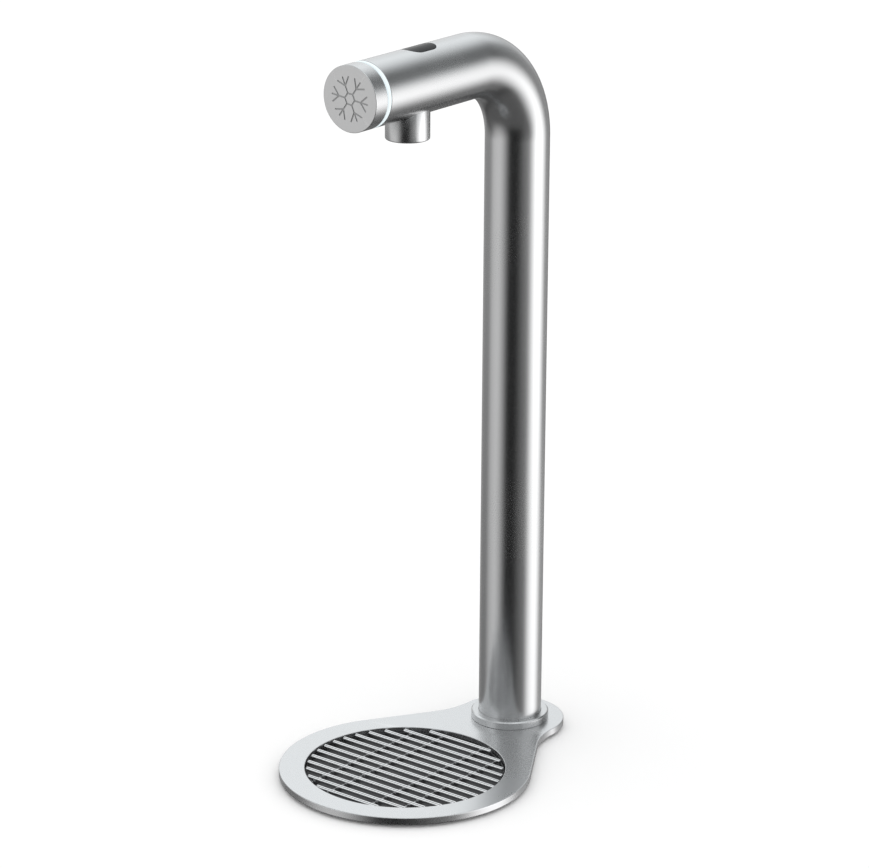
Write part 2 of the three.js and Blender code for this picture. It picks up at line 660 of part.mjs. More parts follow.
function nozzleSleeve() {
  const bottom = spoutBottom;
  const pocket = STRAIGHTENER_RADIUS + FIT_GAP;
  const groove = SPOUT_SEAL + SEAT_GAP;
  const body = turned([
    [pocket, bottom],
    [SPOUT_RADIUS - SPOUT_CHAMFER, bottom],
    [SPOUT_RADIUS, bottom + SPOUT_CHAMFER],
    [SPOUT_RADIUS, -TUBE_RADIUS / 2],
    [stemHole, -TUBE_RADIUS / 2],
    [stemHole, spoutSealHeight + groove],
    [stemHole + 2 * groove, spoutSealHeight + groove],
    [stemHole + 2 * groove, spoutSealHeight - groove],
    [stemHole, spoutSealHeight - groove],
    [stemHole, bottom + straightenerTop],
    [pocket, bottom + straightenerTop],
  ]);
  return cut(body, armCylinder(TUBE_RADIUS + FIT_GAP));
}

// A disc of parallel holes in a hexagon pattern.
function flowStraightener() {
  const bottom = spoutBottom + OUTLET_RING_DEPTH + FIT_GAP;
  const drill = rod(STRAIGHTENER_HOLE, bottom - 1, bottom + STRAIGHTENER_DEPTH + 1, 6);
  const reach = STRAIGHTENER_RADIUS - OUTLET_RING_WIDTH - STRAIGHTENER_HOLE;
  const rings = Math.floor(reach / STRAIGHTENER_PITCH);
  const drills = [];
  for (let row = -rings; row <= rings; row++) {
    const inRow = 2 * rings + 1 - Math.abs(row);
    for (let i = 0; i < inRow; i++) {
      const x = (i - (inRow - 1) / 2) * STRAIGHTENER_PITCH;
      drills.push(moved(drill, x, (row * STRAIGHTENER_PITCH * Math.sqrt(3)) / 2, 0));
    }
  }
  return cut(rod(STRAIGHTENER_RADIUS, bottom, bottom + STRAIGHTENER_DEPTH, ROUND_SIDES), ...drills);
}

const outletRing = () => {
  const bottom = spoutBottom + SEAT_GAP;
  return ring(STRAIGHTENER_RADIUS - OUTLET_RING_WIDTH, STRAIGHTENER_RADIUS, bottom, bottom + OUTLET_RING_DEPTH);
};

place(tower, "inlet_fitting", inletFitting(), brass);
place(tower, "inlet_collet", moved(collet(inletTop), 0, HOSE_FOOT_OFFSET, 0), blackPlastic);
place(tower, "cable_connector", cableConnector(), blackPlastic);
place(tower, "water_hose", waterHose(), hosePlastic);
place(tower, "cable_harness", cableHarness(), cableJacket);
place(spout, "nozzle_elbow", nozzleElbow(), whitePlastic);
place(spout, "nozzle_collet", towardsTower(collet(elbowMouth)), blackPlastic);
place(spout, "saddle_washer", saddleWasher(), silicone);
place(spout, "nozzle_sleeve", nozzleSleeve(), satinSteel);
const spoutSealRadius = stemHole + SPOUT_SEAL + SEAT_GAP;
place(spout, "nozzle_oring", sealRing(spoutSealRadius, SPOUT_SEAL, spoutSealHeight), silicone);
place(spout, "flow_straightener", flowStraightener(), whitePlastic);
place(spout, "outlet_ring", outletRing(), blackPlastic);

// ---------------------------------------------------------------- button and light ring, along the arm

// Six branches that fork into three, from the corners of a small hexagon: a common sign for chilled water.
function snowflake() {
  const line = (length) => new THREE.BoxGeometry(ICON_LINE, length, 2 * ICON_DEPTH).translate(0, length / 2, 0);
  const lean = THREE.MathUtils.degToRad(ICON_TINE_LEAN);
  const strokes = [];
  for (let i = 0; i < 6; i++) {
    const branch = [
      line(ICON_REACH - ICON_HEX).translate(0, ICON_HEX, 0),
      line(ICON_HEX).rotateZ((Math.PI * 2) / 3).translate(0, ICON_HEX, 0),
      line(ICON_TINE).rotateZ(lean).translate(0, ICON_FORK, 0),
      line(ICON_TINE).rotateZ(-lean).translate(0, ICON_FORK, 0),
    ];
    const turn = THREE.MathUtils.degToRad(ICON_TURN + 60 * i - 90);
    for (const stroke of branch) strokes.push(solid(stroke.rotateZ(turn)));
  }
  return moved(joined(...strokes), 0, 0, armReach);
}

function buttonCap() {
  const bore = ringNeck + FIT_GAP;
  const inside = armReach - CAP_FACE;
  const cup = turned([
    [0, armReach],
    [TUBE_RADIUS - 0.3, armReach],
    [TUBE_RADIUS, armReach - 0.3],
    [TUBE_RADIUS, capBack],
    [bore, capBack],
    [bore, inside],
    [0, inside],
  ]);
  return cut(cup, snowflake());
}

function lightRing() {
  const shoulder = capBack - BUTTON_TRAVEL - TRAVEL_SPARE;
  return turned([
    [RING_BORE, tubeEnd - RING_TAIL],
    [plugRadius, tubeEnd - RING_TAIL],
    [plugRadius, tubeEnd + SEAT_GAP],
    [TUBE_RADIUS, tubeEnd + SEAT_GAP],
    [TUBE_RADIUS, shoulder],
    [ringNeck, shoulder],
    [ringNeck, capBack + RING_OVERLAP],
    [RING_BORE, capBack + RING_OVERLAP],
  ]);
}

function buttonStem() {
  return turned([
    [0, stemRear],
    [BUTTON_STEM - 0.4, stemRear],
    [BUTTON_STEM, stemRear + 0.4],
    [BUTTON_STEM, clipFront - CLIP_THICKNESS - SEAT_GAP],
    [CLIP_GROOVE, clipFront - CLIP_THICKNESS - SEAT_GAP],
    [CLIP_GROOVE, clipFront + SEAT_GAP],
    [BUTTON_STEM, clipFront + SEAT_GAP],
    [BUTTON_STEM, stemShoulder],
    [STEM_HEAD_RADIUS, stemShoulder],
    [STEM_HEAD_RADIUS, stemFront],
    [0, stemFront],
  ], 16);
}

// An open ring that snaps into the groove of the stem.
function retainingClip() {
  const open = Math.PI / 5;
  const inner = CLIP_GROOVE + SLIDE_GAP;
  const shape = new THREE.Shape();
  shape.absarc(0, 0, CLIP_RADIUS, -Math.PI / 2 + open, -Math.PI / 2 - open + 2 * Math.PI, false);
  shape.absarc(0, 0, inner, -Math.PI / 2 - open, -Math.PI / 2 + open, true);
  shape.closePath();
  return extruded(shape, clipFront - CLIP_THICKNESS, clipFront, 12);
}

class SpringPath extends THREE.Curve {
  constructor(z0, z1) {
    super();
    Object.assign(this, { z0, z1 });
  }
  getPoint(t) {
    const a = 2 * Math.PI * SPRING_TURNS * t;
    const z = this.z0 + (this.z1 - this.z0) * t;
    return new THREE.Vector3(SPRING_RADIUS * Math.cos(a), SPRING_RADIUS * Math.sin(a), z);
  }
}

function buttonSpring() {
  const clear = SPRING_WIRE + SEAT_GAP;
  const path = new SpringPath(plugFront + clear, stemShoulder - clear);
  const options = { steps: 12 * SPRING_TURNS, extrudePath: path, curveSegments: 3 };
  return solid(new THREE.ExtrudeGeometry(discShape(SPRING_WIRE), options));
}

// ---------------------------------------------------------------- plug, switch and lights, along the arm

const headSeal = tubeEnd - HEAD_SEAL_PLACE;
const sealDepth = 2 * HEAD_SEAL + SEAT_GAP;

function headPlug() {
  const noseRadius = RING_BORE - FIT_GAP;
  const ledge = boardFront + SEAT_GAP;
  const body = turned([
    [PLUG_RECESS + BOARD_LEDGE, plugRear],
    [plugRadius, plugRear],
    [plugRadius, headSeal - sealDepth / 2],
    [plugRadius - sealDepth, headSeal - sealDepth / 2],
    [plugRadius - sealDepth, headSeal + sealDepth / 2],
    [plugRadius, headSeal + sealDepth / 2],
    [plugRadius, tubeEnd - RING_TAIL - FIT_GAP],
    [noseRadius, tubeEnd - RING_TAIL - FIT_GAP],
    [noseRadius, plugFront],
    [BUTTON_STEM + SLIDE_GAP, plugFront],
    [BUTTON_STEM + SLIDE_GAP, webRear],
    [PLUG_RECESS, webRear],
    [PLUG_RECESS, ledge],
    [PLUG_RECESS + BOARD_LEDGE, ledge],
  ]);
  const leadHole = moved(rod(LED_LEAD_RADIUS + FIT_GAP, webRear - 1, plugFront + 1, 12), 0, -LED_LEAD_PLACE, 0);
  const screwHole = rod(SLED_SCREW_RADIUS + THREAD_GAP, plugRear - 1, plugRear + SLED_SCREW_BITE + 1, 12);
  const grubBore = rod(grubHole, PLUG_RECESS + BOARD_LEDGE + 0.5, boreLength, 16).rotate([90, 0, 0]);
  return cut(
    body,
    leadHole,
    moved(screwHole, SLED_SCREW_PLACE, 0, 0),
    moved(screwHole, -SLED_SCREW_PLACE, 0, 0),
    moved(grubBore, 0, 0, plugRear + HEAD_GRUB_PLACE),
  );
}

const headGrubEnd = TUBE_RADIUS - GRUB_SINK;
const headGrub = grubScrew(headGrubEnd - HEAD_GRUB_LENGTH, headGrubEnd).rotate([90, 0, 0]);

function switchBody() {
  const bore = rod(PLUNGER_RADIUS + FIT_GAP, switchRear + 1, switchFront + 1, 16);
  return cut(block(SWITCH_SIZE, SWITCH_SIZE, switchRear, switchFront), bore);
}

place(arm, "button_cap", buttonCap(), satinSteel);
place(arm, "light_ring", lightRing(), litAcrylic);
place(arm, "button_stem", buttonStem(), brightSteel);
place(arm, "retaining_clip", retainingClip(), brightSteel);
place(arm, "button_spring", buttonSpring(), brightSteel);
place(arm, "head_plug", headPlug(), blackPlastic);
place(arm, "head_oring", sealRing(plugRadius + SEAT_GAP - HEAD_SEAL, HEAD_SEAL, headSeal), silicone);
place(arm, "head_setscrew", moved(headGrub, 0, 0, plugRear + HEAD_GRUB_PLACE), brightSteel);
place(arm, "switch_board", rod(PLUG_RECESS + BOARD_LEDGE - FIT_GAP, boardRear, boardFront, ROUND_SIDES), board);
place(arm, "switch_body", switchBody(), blackPlastic);
const plunger = rod(PLUNGER_RADIUS, switchFront - PLUNGER_GRIP, stemRear - SEAT_GAP, 16);
place(arm, "switch_plunger", plunger, whitePlastic);

const ledBoardFront = ledBoardRear + LED_BOARD_THICKNESS;
place(arm, "led_board", ring(LED_BOARD_BORE, RING_BORE - 2 * FIT_GAP, ledBoardRear, ledBoardFront), board);
const [ledAcross, ledOut, ledAlong] = LED_SIZE;
const ledRear = ledBoardFront + SEAT_GAP;
const ledMiddle = RING_BORE - 3 * FIT_GAP - ledOut / 2;
for (let i = 0; i < LED_COUNT; i++) {
  const led = moved(block(ledOut, ledAcross, ledRear, ledRear + ledAlong), ledMiddle, 0, 0);
  place(arm, `led_${i + 1}`, led.rotate([0, 0, (360 / LED_COUNT) * i]), litAcrylic);
}
const ledLead = rod(LED_LEAD_RADIUS, boardFront + FIT_GAP, ledBoardRear - FIT_GAP, 10);
place(arm, "led_lead", moved(ledLead, 0, -LED_LEAD_PLACE, 0), cableJacket);

// ---------------------------------------------------------------- sensor under its window, along the arm

// Turns a shape drawn in X and Y, extruded along Z, so that its depth points up and its length lies along the arm.
const upThroughArm = (made) => moved(made.rotate([-90, 0, 0]), 0, 0, windowPlace);
const alongArm = (r) => rod(r, 0, armReach, 2 * ROUND_SIDES);

function windowLayer(grow, inner, outer) {
  const prism = extruded(slotShape(WINDOW_WIDTH + 2 * grow, WINDOW_LENGTH + 2 * grow), 1, boreLength, 8);
  return cut(upThroughArm(prism).intersect(alongArm(outer)), alongArm(inner));
}

function sensorWindow() {
  const flange = windowLayer(WINDOW_FLANGE, windowInner, windowInner + WINDOW_FLANGE_THICKNESS);
  return joined(windowLayer(0, windowInner, TUBE_RADIUS), flange);
}

function windowGasket() {
  const inner = windowInner + WINDOW_FLANGE_THICKNESS + SEAT_GAP;
  const outside = windowLayer(WINDOW_FLANGE - SEAT_GAP, inner, inner + GASKET_THICKNESS);
  return cut(outside, windowLayer(FIT_GAP, inner - 1, inner + GASKET_THICKNESS + 1));
}

const sledFront = plugRear - SEAT_GAP;
const sledRear = sledFront - SLED_FLANGE;

// A box given by its middle height, from y0 to y1 up and from z0 to z1 along the arm.
const armBox = (width, y0, y1, z0, z1) => moved(block(width, y1 - y0, z0, z1), 0, (y0 + y1) / 2, 0);

function sensorSled() {
  const deck = armBox(2 * DECK_HALF_WIDTH, deckTop - DECK_THICKNESS, deckTop, windowPlace - DECK_BACK, sledRear + 1);
  const body = joined(ring(SLED_BORE, plugRadius - FIT_GAP, sledRear, sledFront), deck);
  const hole = rod(SLED_SCREW_RADIUS + FIT_GAP, sledRear - 1, sledFront + 1, 12);
  return cut(body, moved(hole, SLED_SCREW_PLACE, 0, 0), moved(hole, -SLED_SCREW_PLACE, 0, 0));
}

function sledScrew() {
  const seat = sledRear - SEAT_GAP;
  return turned([
    [0, seat - SLED_SCREW_HEAD_HEIGHT],
    [SLED_SCREW_HEAD - 0.4, seat - SLED_SCREW_HEAD_HEIGHT],
    [SLED_SCREW_HEAD, seat - SLED_SCREW_HEAD_HEIGHT + 0.5],
    [SLED_SCREW_HEAD, seat],
    [SLED_SCREW_RADIUS, seat],
    [SLED_SCREW_RADIUS, plugRear + SLED_SCREW_BITE],
    [0, plugRear + SLED_SCREW_BITE],
  ], 16);
}

const sensorFoot = deckTop + SEAT_GAP + SENSOR_BOARD_THICKNESS + SEAT_GAP;
const sensorTop = windowInner - SENSOR_HEADROOM;

// A round diode with a domed lens, standing up from the sensor board.
function irEmitter() {
  const dome = sensorTop - EMITTER_RADIUS;
  const profile = [[0, sensorFoot], [EMITTER_RADIUS, sensorFoot]];
  for (let a = 0; a < 90; a += 18) {
    const t = THREE.MathUtils.degToRad(a);
    profile.push([EMITTER_RADIUS * Math.cos(t), dome + EMITTER_RADIUS * Math.sin(t)]);
  }
  profile.push([0, sensorTop]);
  return moved(upThroughArm(turned(profile, 20)), 0, 0, SENSOR_PLACE);
}

function irReceiver() {
  const half = RECEIVER_SIZE / 2;
  const place0 = windowPlace - SENSOR_PLACE;
  return armBox(RECEIVER_SIZE, sensorFoot, sensorTop, place0 - half, place0 + half);
}

const sensorBoard = armBox(
  2 * SENSOR_BOARD_HALF_WIDTH,
  deckTop + SEAT_GAP,
  deckTop + SEAT_GAP + SENSOR_BOARD_THICKNESS,
  windowPlace - SENSOR_BOARD_HALF_LENGTH,
  windowPlace + SENSOR_BOARD_HALF_LENGTH,
);

place(arm, "sensor_window", sensorWindow(), darkAcrylic);
place(arm, "window_gasket", windowGasket(), silicone);
place(arm, "sensor_sled", sensorSled(), blackPlastic);
place(arm, "sled_screw_1", moved(sledScrew(), SLED_SCREW_PLACE, 0, 0), brightSteel);
place(arm, "sled_screw_2", moved(sledScrew(), -SLED_SCREW_PLACE, 0, 0), brightSteel);
place(arm, "sensor_board", sensorBoard, board);
place(arm, "ir_emitter", irEmitter(), whitePlastic);
place(arm, "ir_receiver", irReceiver(), darkAcrylic);

export default dispenser;
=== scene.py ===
"""Countertop water dispenser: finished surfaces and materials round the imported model.

Metres, +Z up, the arm points towards -Y and X = 0 is the plane of symmetry.
"""

import functools
import json
import math

import bmesh
import bpy
from mathutils import Matrix, Vector
from mathutils.geometry import tessellate_polygon


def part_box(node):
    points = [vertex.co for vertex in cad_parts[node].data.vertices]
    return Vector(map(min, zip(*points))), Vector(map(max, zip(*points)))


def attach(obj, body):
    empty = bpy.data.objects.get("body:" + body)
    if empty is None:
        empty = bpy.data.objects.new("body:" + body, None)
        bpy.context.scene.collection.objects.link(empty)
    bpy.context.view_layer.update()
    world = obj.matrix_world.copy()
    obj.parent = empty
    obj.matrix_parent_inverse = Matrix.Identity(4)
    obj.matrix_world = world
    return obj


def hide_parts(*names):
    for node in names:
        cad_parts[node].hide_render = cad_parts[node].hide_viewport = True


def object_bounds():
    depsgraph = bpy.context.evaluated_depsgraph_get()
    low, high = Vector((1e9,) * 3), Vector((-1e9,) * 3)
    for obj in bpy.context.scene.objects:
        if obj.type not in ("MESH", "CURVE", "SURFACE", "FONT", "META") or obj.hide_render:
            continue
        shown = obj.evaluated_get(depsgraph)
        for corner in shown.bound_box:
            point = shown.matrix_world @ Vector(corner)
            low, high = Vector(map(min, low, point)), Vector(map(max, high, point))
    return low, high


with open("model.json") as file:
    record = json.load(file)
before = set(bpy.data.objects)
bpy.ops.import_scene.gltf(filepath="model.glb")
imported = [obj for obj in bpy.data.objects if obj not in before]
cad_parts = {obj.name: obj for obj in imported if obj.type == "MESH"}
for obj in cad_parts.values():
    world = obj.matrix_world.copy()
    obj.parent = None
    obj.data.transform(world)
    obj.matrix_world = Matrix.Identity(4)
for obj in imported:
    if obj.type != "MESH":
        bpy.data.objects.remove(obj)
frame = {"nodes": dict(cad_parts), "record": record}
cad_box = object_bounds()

MM = 0.001

# ------------------------------------------------------------------ places, read from the frame

tube_low, tube_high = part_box("tower_tube")
TUBE_RADIUS = tube_high.x
TOWER_Y = tube_high.y - TUBE_RADIUS
ARM_Z = tube_high.z - TUBE_RADIUS
TUBE_FOOT = tube_low.z
TUBE_END = tube_low.y

plate_low, plate_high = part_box("base_plate")
mat_low, mat_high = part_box("base_mat")
pan_low, pan_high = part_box("drip_pan")
_, grille_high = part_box("drip_grille")
collar_low, collar_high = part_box("foot_collar")
cap_low, cap_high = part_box("button_cap")
ring_low, ring_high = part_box("light_ring")
sleeve_low, sleeve_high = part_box("nozzle_sleeve")
outlet_low, outlet_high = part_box("outlet_ring")
window_low, window_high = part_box("sensor_window")
inlet_low, inlet_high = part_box("inlet_fitting")
connector_low, connector_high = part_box("cable_connector")
screw_low, screw_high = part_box("head_setscrew")

SPOUT_Y = (sleeve_low.y + sleeve_high.y) / 2
SPOUT_RADIUS = sleeve_high.x
TRAY_Y = (pan_low.y + pan_high.y) / 2
PLATE_RADIUS = plate_high.x
LOBE_RADIUS = plate_high.y - TOWER_Y
INLET_Y = (inlet_low.y + inlet_high.y) / 2
CONNECTOR_Y = (connector_low.y + connector_high.y) / 2
WINDOW_Y = (window_low.y + window_high.y) / 2
GRUB_Y = (screw_low.y + screw_high.y) / 2
CAP_FACE = -cap_low.y
CAP_BACK = -cap_high.y

# ------------------------------------------------------------------ sizes of the finished surfaces

TUBE_WALL = 1.5 * MM
TUBE_BORE = TUBE_RADIUS - TUBE_WALL
TUBE_EDGE = 0.2 * MM  # chamfer at the tube's two ends
BEND_RADIUS = 52 * MM
TUBE_RISE = ARM_Z - BEND_RADIUS - TUBE_FOOT
TUBE_BEND = math.pi / 2 * BEND_RADIUS
TUBE_LENGTH = TUBE_RISE + TUBE_BEND + (TOWER_Y - BEND_RADIUS - TUBE_END)
RISE_RINGS = 24  # rings in the tube's mesh, up its rise, round its bend and along its arm
BEND_RINGS = 48
ARM_RINGS = 16
WALL_TOLERANCE = 0.02 * MM
NECK_RADIUS = 48 * MM
TRAY_OPENING = 62.5 * MM
PLATE_EDGE = 0.45 * MM  # rounding of the plate's edges
MAT_INSET = 4.2 * MM
MAT_FLOOR = 0.6 * MM
SERVICE_HOLE = 13 * MM
SERVICE_HOLE_RIM = 0.2 * MM
INLET_HOLE = 6.5 * MM
CABLE_HOLE = 3.9 * MM
PAN_WALL = 1.0 * MM
PAN_FLOOR = 0.6 * MM
BAR_RADIUS = 1.3 * MM
BAR_PITCH = 8.54 * MM
BAR_COUNT = 14
BAR_REACH = 61.9 * MM
CROSS_ROD_RADIUS = 1.0 * MM
CROSS_ROD_BITE = 0.25 * MM
CROSS_ROD_REACH = 60.8 * MM
CROSS_ROD_SPACINGS = (31.8 * MM, 68.5 * MM)
COLLAR_CHAMFER = 0.8 * MM
COLLAR_GAP = 0.12 * MM
BAR_AXIS = grille_high.z - BAR_RADIUS
CROSS_AXIS = BAR_AXIS - BAR_RADIUS + CROSS_ROD_BITE - CROSS_ROD_RADIUS
WINDOW_FLANGE = 2 * MM
WINDOW_WIDTH = 14.6 * MM
WINDOW_THICKNESS = 2.2 * MM
SLOT_GAP = 0.16 * MM
WINDOW_LENGTH = window_high.y - window_low.y - 2 * WINDOW_FLANGE
WINDOW_BEVEL = 0.15 * MM
CUTTER_START = 5 * MM  # cutters through the arm's wall start and end this far from its axis
CUTTER_END = 30 * MM
SPOUT_BORE = 6.8 * MM
SPOUT_POCKET = 11.0 * MM
POCKET_DEPTH = 6.2 * MM
SPOUT_SEAT = TUBE_RADIUS + 0.05 * MM
OUTLET_WALL = 2.3 * MM
CAP_WALL = 1.1 * MM
CAP_THICKNESS = 2 * MM
SIDE_START = 15 * MM  # only faces farther than this from the cap's axis can belong to its turned side
ICON_DEPTH = 0.3 * MM
ICON_LINE = 1.0 * MM
ICON_REACH = 13.2 * MM
ICON_FORK = 8.1 * MM
ICON_HEX = 3.7 * MM
ICON_TURN = -6.0  # degrees
ICON_TINE = 6.0 * MM
ICON_LEAN = 46  # degrees between a tine and its branch
RING_BORE = 16.4 * MM
RING_TAIL = 18.2 * MM  # the ring's hidden tail in the tube
RING_NECK = TUBE_RADIUS - 1.4 * MM
RING_OUTSIDE = TUBE_RADIUS - 0.05 * MM
RING_BACK = -TUBE_END + 0.1 * MM
RING_SHOULDER = CAP_BACK - 1.4 * MM
GRUB_HOLE = 1.65 * MM
GRUB_RADIUS = 1.45 * MM
GRUB_LENGTH = 6.5 * MM
GRUB_SOCKET = 1.5 / math.sqrt(3) * MM  # corners of the hexagon socket
GRUB_SOCKET_DEPTH = 1.6 * MM
FLOOR_HALF = 30.0
FLOOR_DROP = 0.05 * MM

# ------------------------------------------------------------------ mesh helpers


def finished(name, mesh, materials, body, replaced, sharp=32):
    """Links a mesh as a piece that rides on a body and stands for CAD nodes."""
    piece = bpy.data.objects.new(name, mesh)
    bpy.context.scene.collection.objects.link(piece)
    for material in materials:
        mesh.materials.append(material)
    if sharp:
        mesh.shade_smooth()
        mesh.set_sharp_from_angle(angle=math.radians(sharp))
    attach(piece, body)
    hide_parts(*replaced)


def mesh_of(name, points, faces):
    mesh = bpy.data.meshes.new(name)
    mesh.from_pydata([tuple(p) for p in points], [], faces)
    made = bmesh.new()
    made.from_mesh(mesh)
    bmesh.ops.remove_doubles(made, verts=made.verts, dist=1e-7)
    bmesh.ops.recalc_face_normals(made, faces=made.faces)
    made.to_mesh(mesh)
    made.free()
    return mesh


def rounded(corners, support=0.25 * MM, steps=4):
    """A profile whose corners (a, b, radius) are rounded, with a line close to each rounding to hold it."""
    line = []
    for i, (a, b, radius) in enumerate(corners):
        here = Vector((a, b))
        if not radius:
            line.append((a, b))
            continue
        before = Vector(corners[i - 1][:2]) - here
        after = Vector(corners[(i + 1) % len(corners)][:2]) - here
        half = before.angle(after) / 2
        reach = radius / math.tan(half)
        into, out = before.normalized(), after.normalized()
        if before.length > reach + 2 * support:
            line.append(tuple(here + into * (reach + support)))
        centre = here + (into + out).normalized() * (radius / math.sin(half))
        first = here + into * reach - centre
        turn = first.angle_signed(here + out * reach - centre)
        for k in range(steps + 1):
            angle = -turn * k / steps
            cosine, sine = math.cos(angle), math.sin(angle)
            spot = Vector((first.x * cosine - first.y * sine, first.x * sine + first.y * cosine))
            line.append(tuple(centre + spot))
        if after.length > reach + 2 * support:
            line.append(tuple(here + out * (reach + support)))
    return line


def ring_faces(sides, count, on_axis=()):
    """Quads between each closed loop of count points and the next one round; none along the axis."""
    faces = []
    for i in range(sides):
        j = (i + 1) % sides
        for k in range(count):
            if k not in on_axis:
                m = (k + 1) % count
                faces.append((i * count + k, j * count + k, j * count + m, i * count + m))
    return faces


def turned(name, profile, to_frame, sides=128):
    """A solid turned from a loop of (radius, height); to_frame takes (x, y, height) to the frame."""
    points = []
    for i in range(sides):
        a = 2 * math.pi * i / sides
        points += [to_frame(r * math.cos(a), r * math.sin(a), h) for r, h in profile]
    count = len(profile)
    on_axis = [k for k in range(count) if profile[k][0] == 0 and profile[(k + 1) % count][0] == 0]
    return mesh_of(name, points, ring_faces(sides, count, on_axis))


def upright(y):
    """Heights are the frame's own, round a vertical axis at y."""
    return lambda a, b, h: Vector((a, y + b, h))


def downwards(y):
    """Heights run down from the arm's axis, round a vertical axis at y."""
    return lambda a, b, h: Vector((a, y + b, ARM_Z - h))


def along_arm(a, b, h):
    """Heights run out along the arm, measured as -Y."""
    return Vector((a, -h, ARM_Z + b))


def evaluated(piece, name):
    """The piece's mesh with its modifiers applied; the piece itself is removed."""
    graph = bpy.context.evaluated_depsgraph_get()
    mesh = bpy.data.meshes.new_from_object(piece.evaluated_get(graph))
    mesh.name = name
    bpy.data.objects.remove(piece)
    return mesh


def scratch(mesh):
    piece = bpy.data.objects.new(mesh.name, mesh)
    bpy.context.scene.collection.objects.link(piece)
    return piece


def cut(mesh, cutters, crossing=False):
    """The mesh with each cutter's mesh taken out of it."""
    body = scratch(mesh)
    tools = [scratch(c) for c in cutters]
    for tool in tools:
        step = body.modifiers.new(tool.name, "BOOLEAN")
        step.object = tool
        step.operation = "DIFFERENCE"
        step.solver = "EXACT"
        step.use_self = crossing
    made = evaluated(body, mesh.name + "_cut")
    for tool in tools:
        bpy.data.objects.remove(tool)
    return made


def joined(name, meshes):
    whole = bmesh.new()
    for mesh in meshes:
        whole.from_mesh(mesh)
    made = bpy.data.meshes.new(name)
    whole.to_mesh(made)
    whole.free()
    return made


def arc(x, y, r, start, end, count):
    """Points from start up to, but without, end."""
    angles = [start + (end - start) * k / count for k in range(count)]
    return [(x + r * math.cos(a), y + r * math.sin(a)) for a in angles]


def circle(x, y, r, count=128):
    return arc(x, y, r, 0, 2 * math.pi, count)


def obround(width, length, steps=24):
    """Corners of a slot with round ends, long in Y."""
    r = width / 2
    straight = length / 2 - r
    ends = []
    for k in range(steps + 1):
        a = math.pi * k / steps
        ends.append((r * math.cos(a), straight + r * math.sin(a)))
    return ends + [(-x, -y) for x, y in ends]


def prism(name, outline, to_frame, low, high):
    count = len(outline)
    points = [to_frame(x, y, low) for x, y in outline] + [to_frame(x, y, high) for x, y in outline]
    faces = [tuple(range(count)), tuple(range(count, 2 * count))]
    for k in range(count):
        m = (k + 1) % count
        faces.append((k, m, count + m, count + k))
    return mesh_of(name, points, faces)


# ------------------------------------------------------------------ shader groups


def node_group(name, inputs, outputs):
    group = bpy.data.node_groups.new(name, "ShaderNodeTree")
    for label, kind, value in inputs:
        socket = group.interface.new_socket(label, in_out="INPUT", socket_type=kind)
        socket.default_value = value
    for label, kind in outputs:
        group.interface.new_socket(label, in_out="OUTPUT", socket_type=kind)
    return group, group.nodes.new("NodeGroupInput"), group.nodes.new("NodeGroupOutput")


class Wires:
    """Adds and joins nodes in one tree."""

    def __init__(self, tree):
        self.tree = tree

    def add(self, kind, values=None, **settings):
        node = self.tree.nodes.new(kind)
        for key, value in settings.items():
            setattr(node, key, value)
        for key, value in (values or {}).items():
            if isinstance(value, bpy.types.NodeSocket):
                self.tree.links.new(value, node.inputs[key])
            else:
                node.inputs[key].default_value = value
        return node

    def math(self, operation, a, b=0.0):
        return self.add("ShaderNodeMath", {0: a, 1: b}, operation=operation).outputs[0]

    def vector(self, operation, a, b=(0, 0, 0)):
        return self.add("ShaderNodeVectorMath", {0: a, 1: b}, operation=operation)

    def span(self, value, low, high, to_low=0.0, to_high=1.0):
        ends = {0: value, 1: low, 2: high, 3: to_low, 4: to_high}
        return self.add("ShaderNodeMapRange", ends, interpolation_type="SMOOTHSTEP").outputs[0]

    def mix(self, factor, a, b):
        node = self.add("ShaderNodeMix", data_type="RGBA")
        for index, value in ((0, factor), (6, a), (7, b)):
            if isinstance(value, bpy.types.NodeSocket):
                self.tree.links.new(value, node.inputs[index])
            else:
                node.inputs[index].default_value = value
        return node.outputs[2]

    def link(self, a, b):
        self.tree.links.new(a, b)


def make_grain_group():
    """Fine polishing marks: noise drawn out along one axis, and broad soft patches left by handling."""
    group, put, take = node_group(
        "satin_grain",
        [
            ("Vector", "NodeSocketVector", (0, 0, 0)),
            ("Stretch", "NodeSocketVector", (1, 1, 1)),
            ("Grain Size", "NodeSocketFloat", 0.0003),
            ("Patch Size", "NodeSocketFloat", 0.05),
        ],
        [("Grain", "NodeSocketFloat"), ("Patches", "NodeSocketFloat"), ("Speckle", "NodeSocketFloat")],
    )
    w = Wires(group)
    fine = w.math("DIVIDE", 1.0, put.outputs["Grain Size"])
    stretched = w.vector("MULTIPLY", put.outputs["Vector"], put.outputs["Stretch"]).outputs[0]
    noise = w.add("ShaderNodeTexNoise", {"Vector": stretched, "Scale": fine, "Detail": 3.0, "Roughness": 0.6})
    broad = w.math("DIVIDE", 1.0, put.outputs["Patch Size"])
    around = put.outputs["Vector"]
    cloud = w.add("ShaderNodeTexNoise", {"Vector": around, "Scale": broad, "Detail": 4.0, "Roughness": 0.55})
    coarse = w.math("MULTIPLY", fine, 0.6)
    speck = w.add("ShaderNodeTexNoise", {"Vector": around, "Scale": coarse, "Detail": 1.0})
    w.link(noise.outputs[0], take.inputs["Grain"])
    w.link(w.span(cloud.outputs[0], 0.35, 0.68), take.inputs["Patches"])
    w.link(w.span(speck.outputs[0], 0.3, 0.72), take.inputs["Speckle"])
    return group


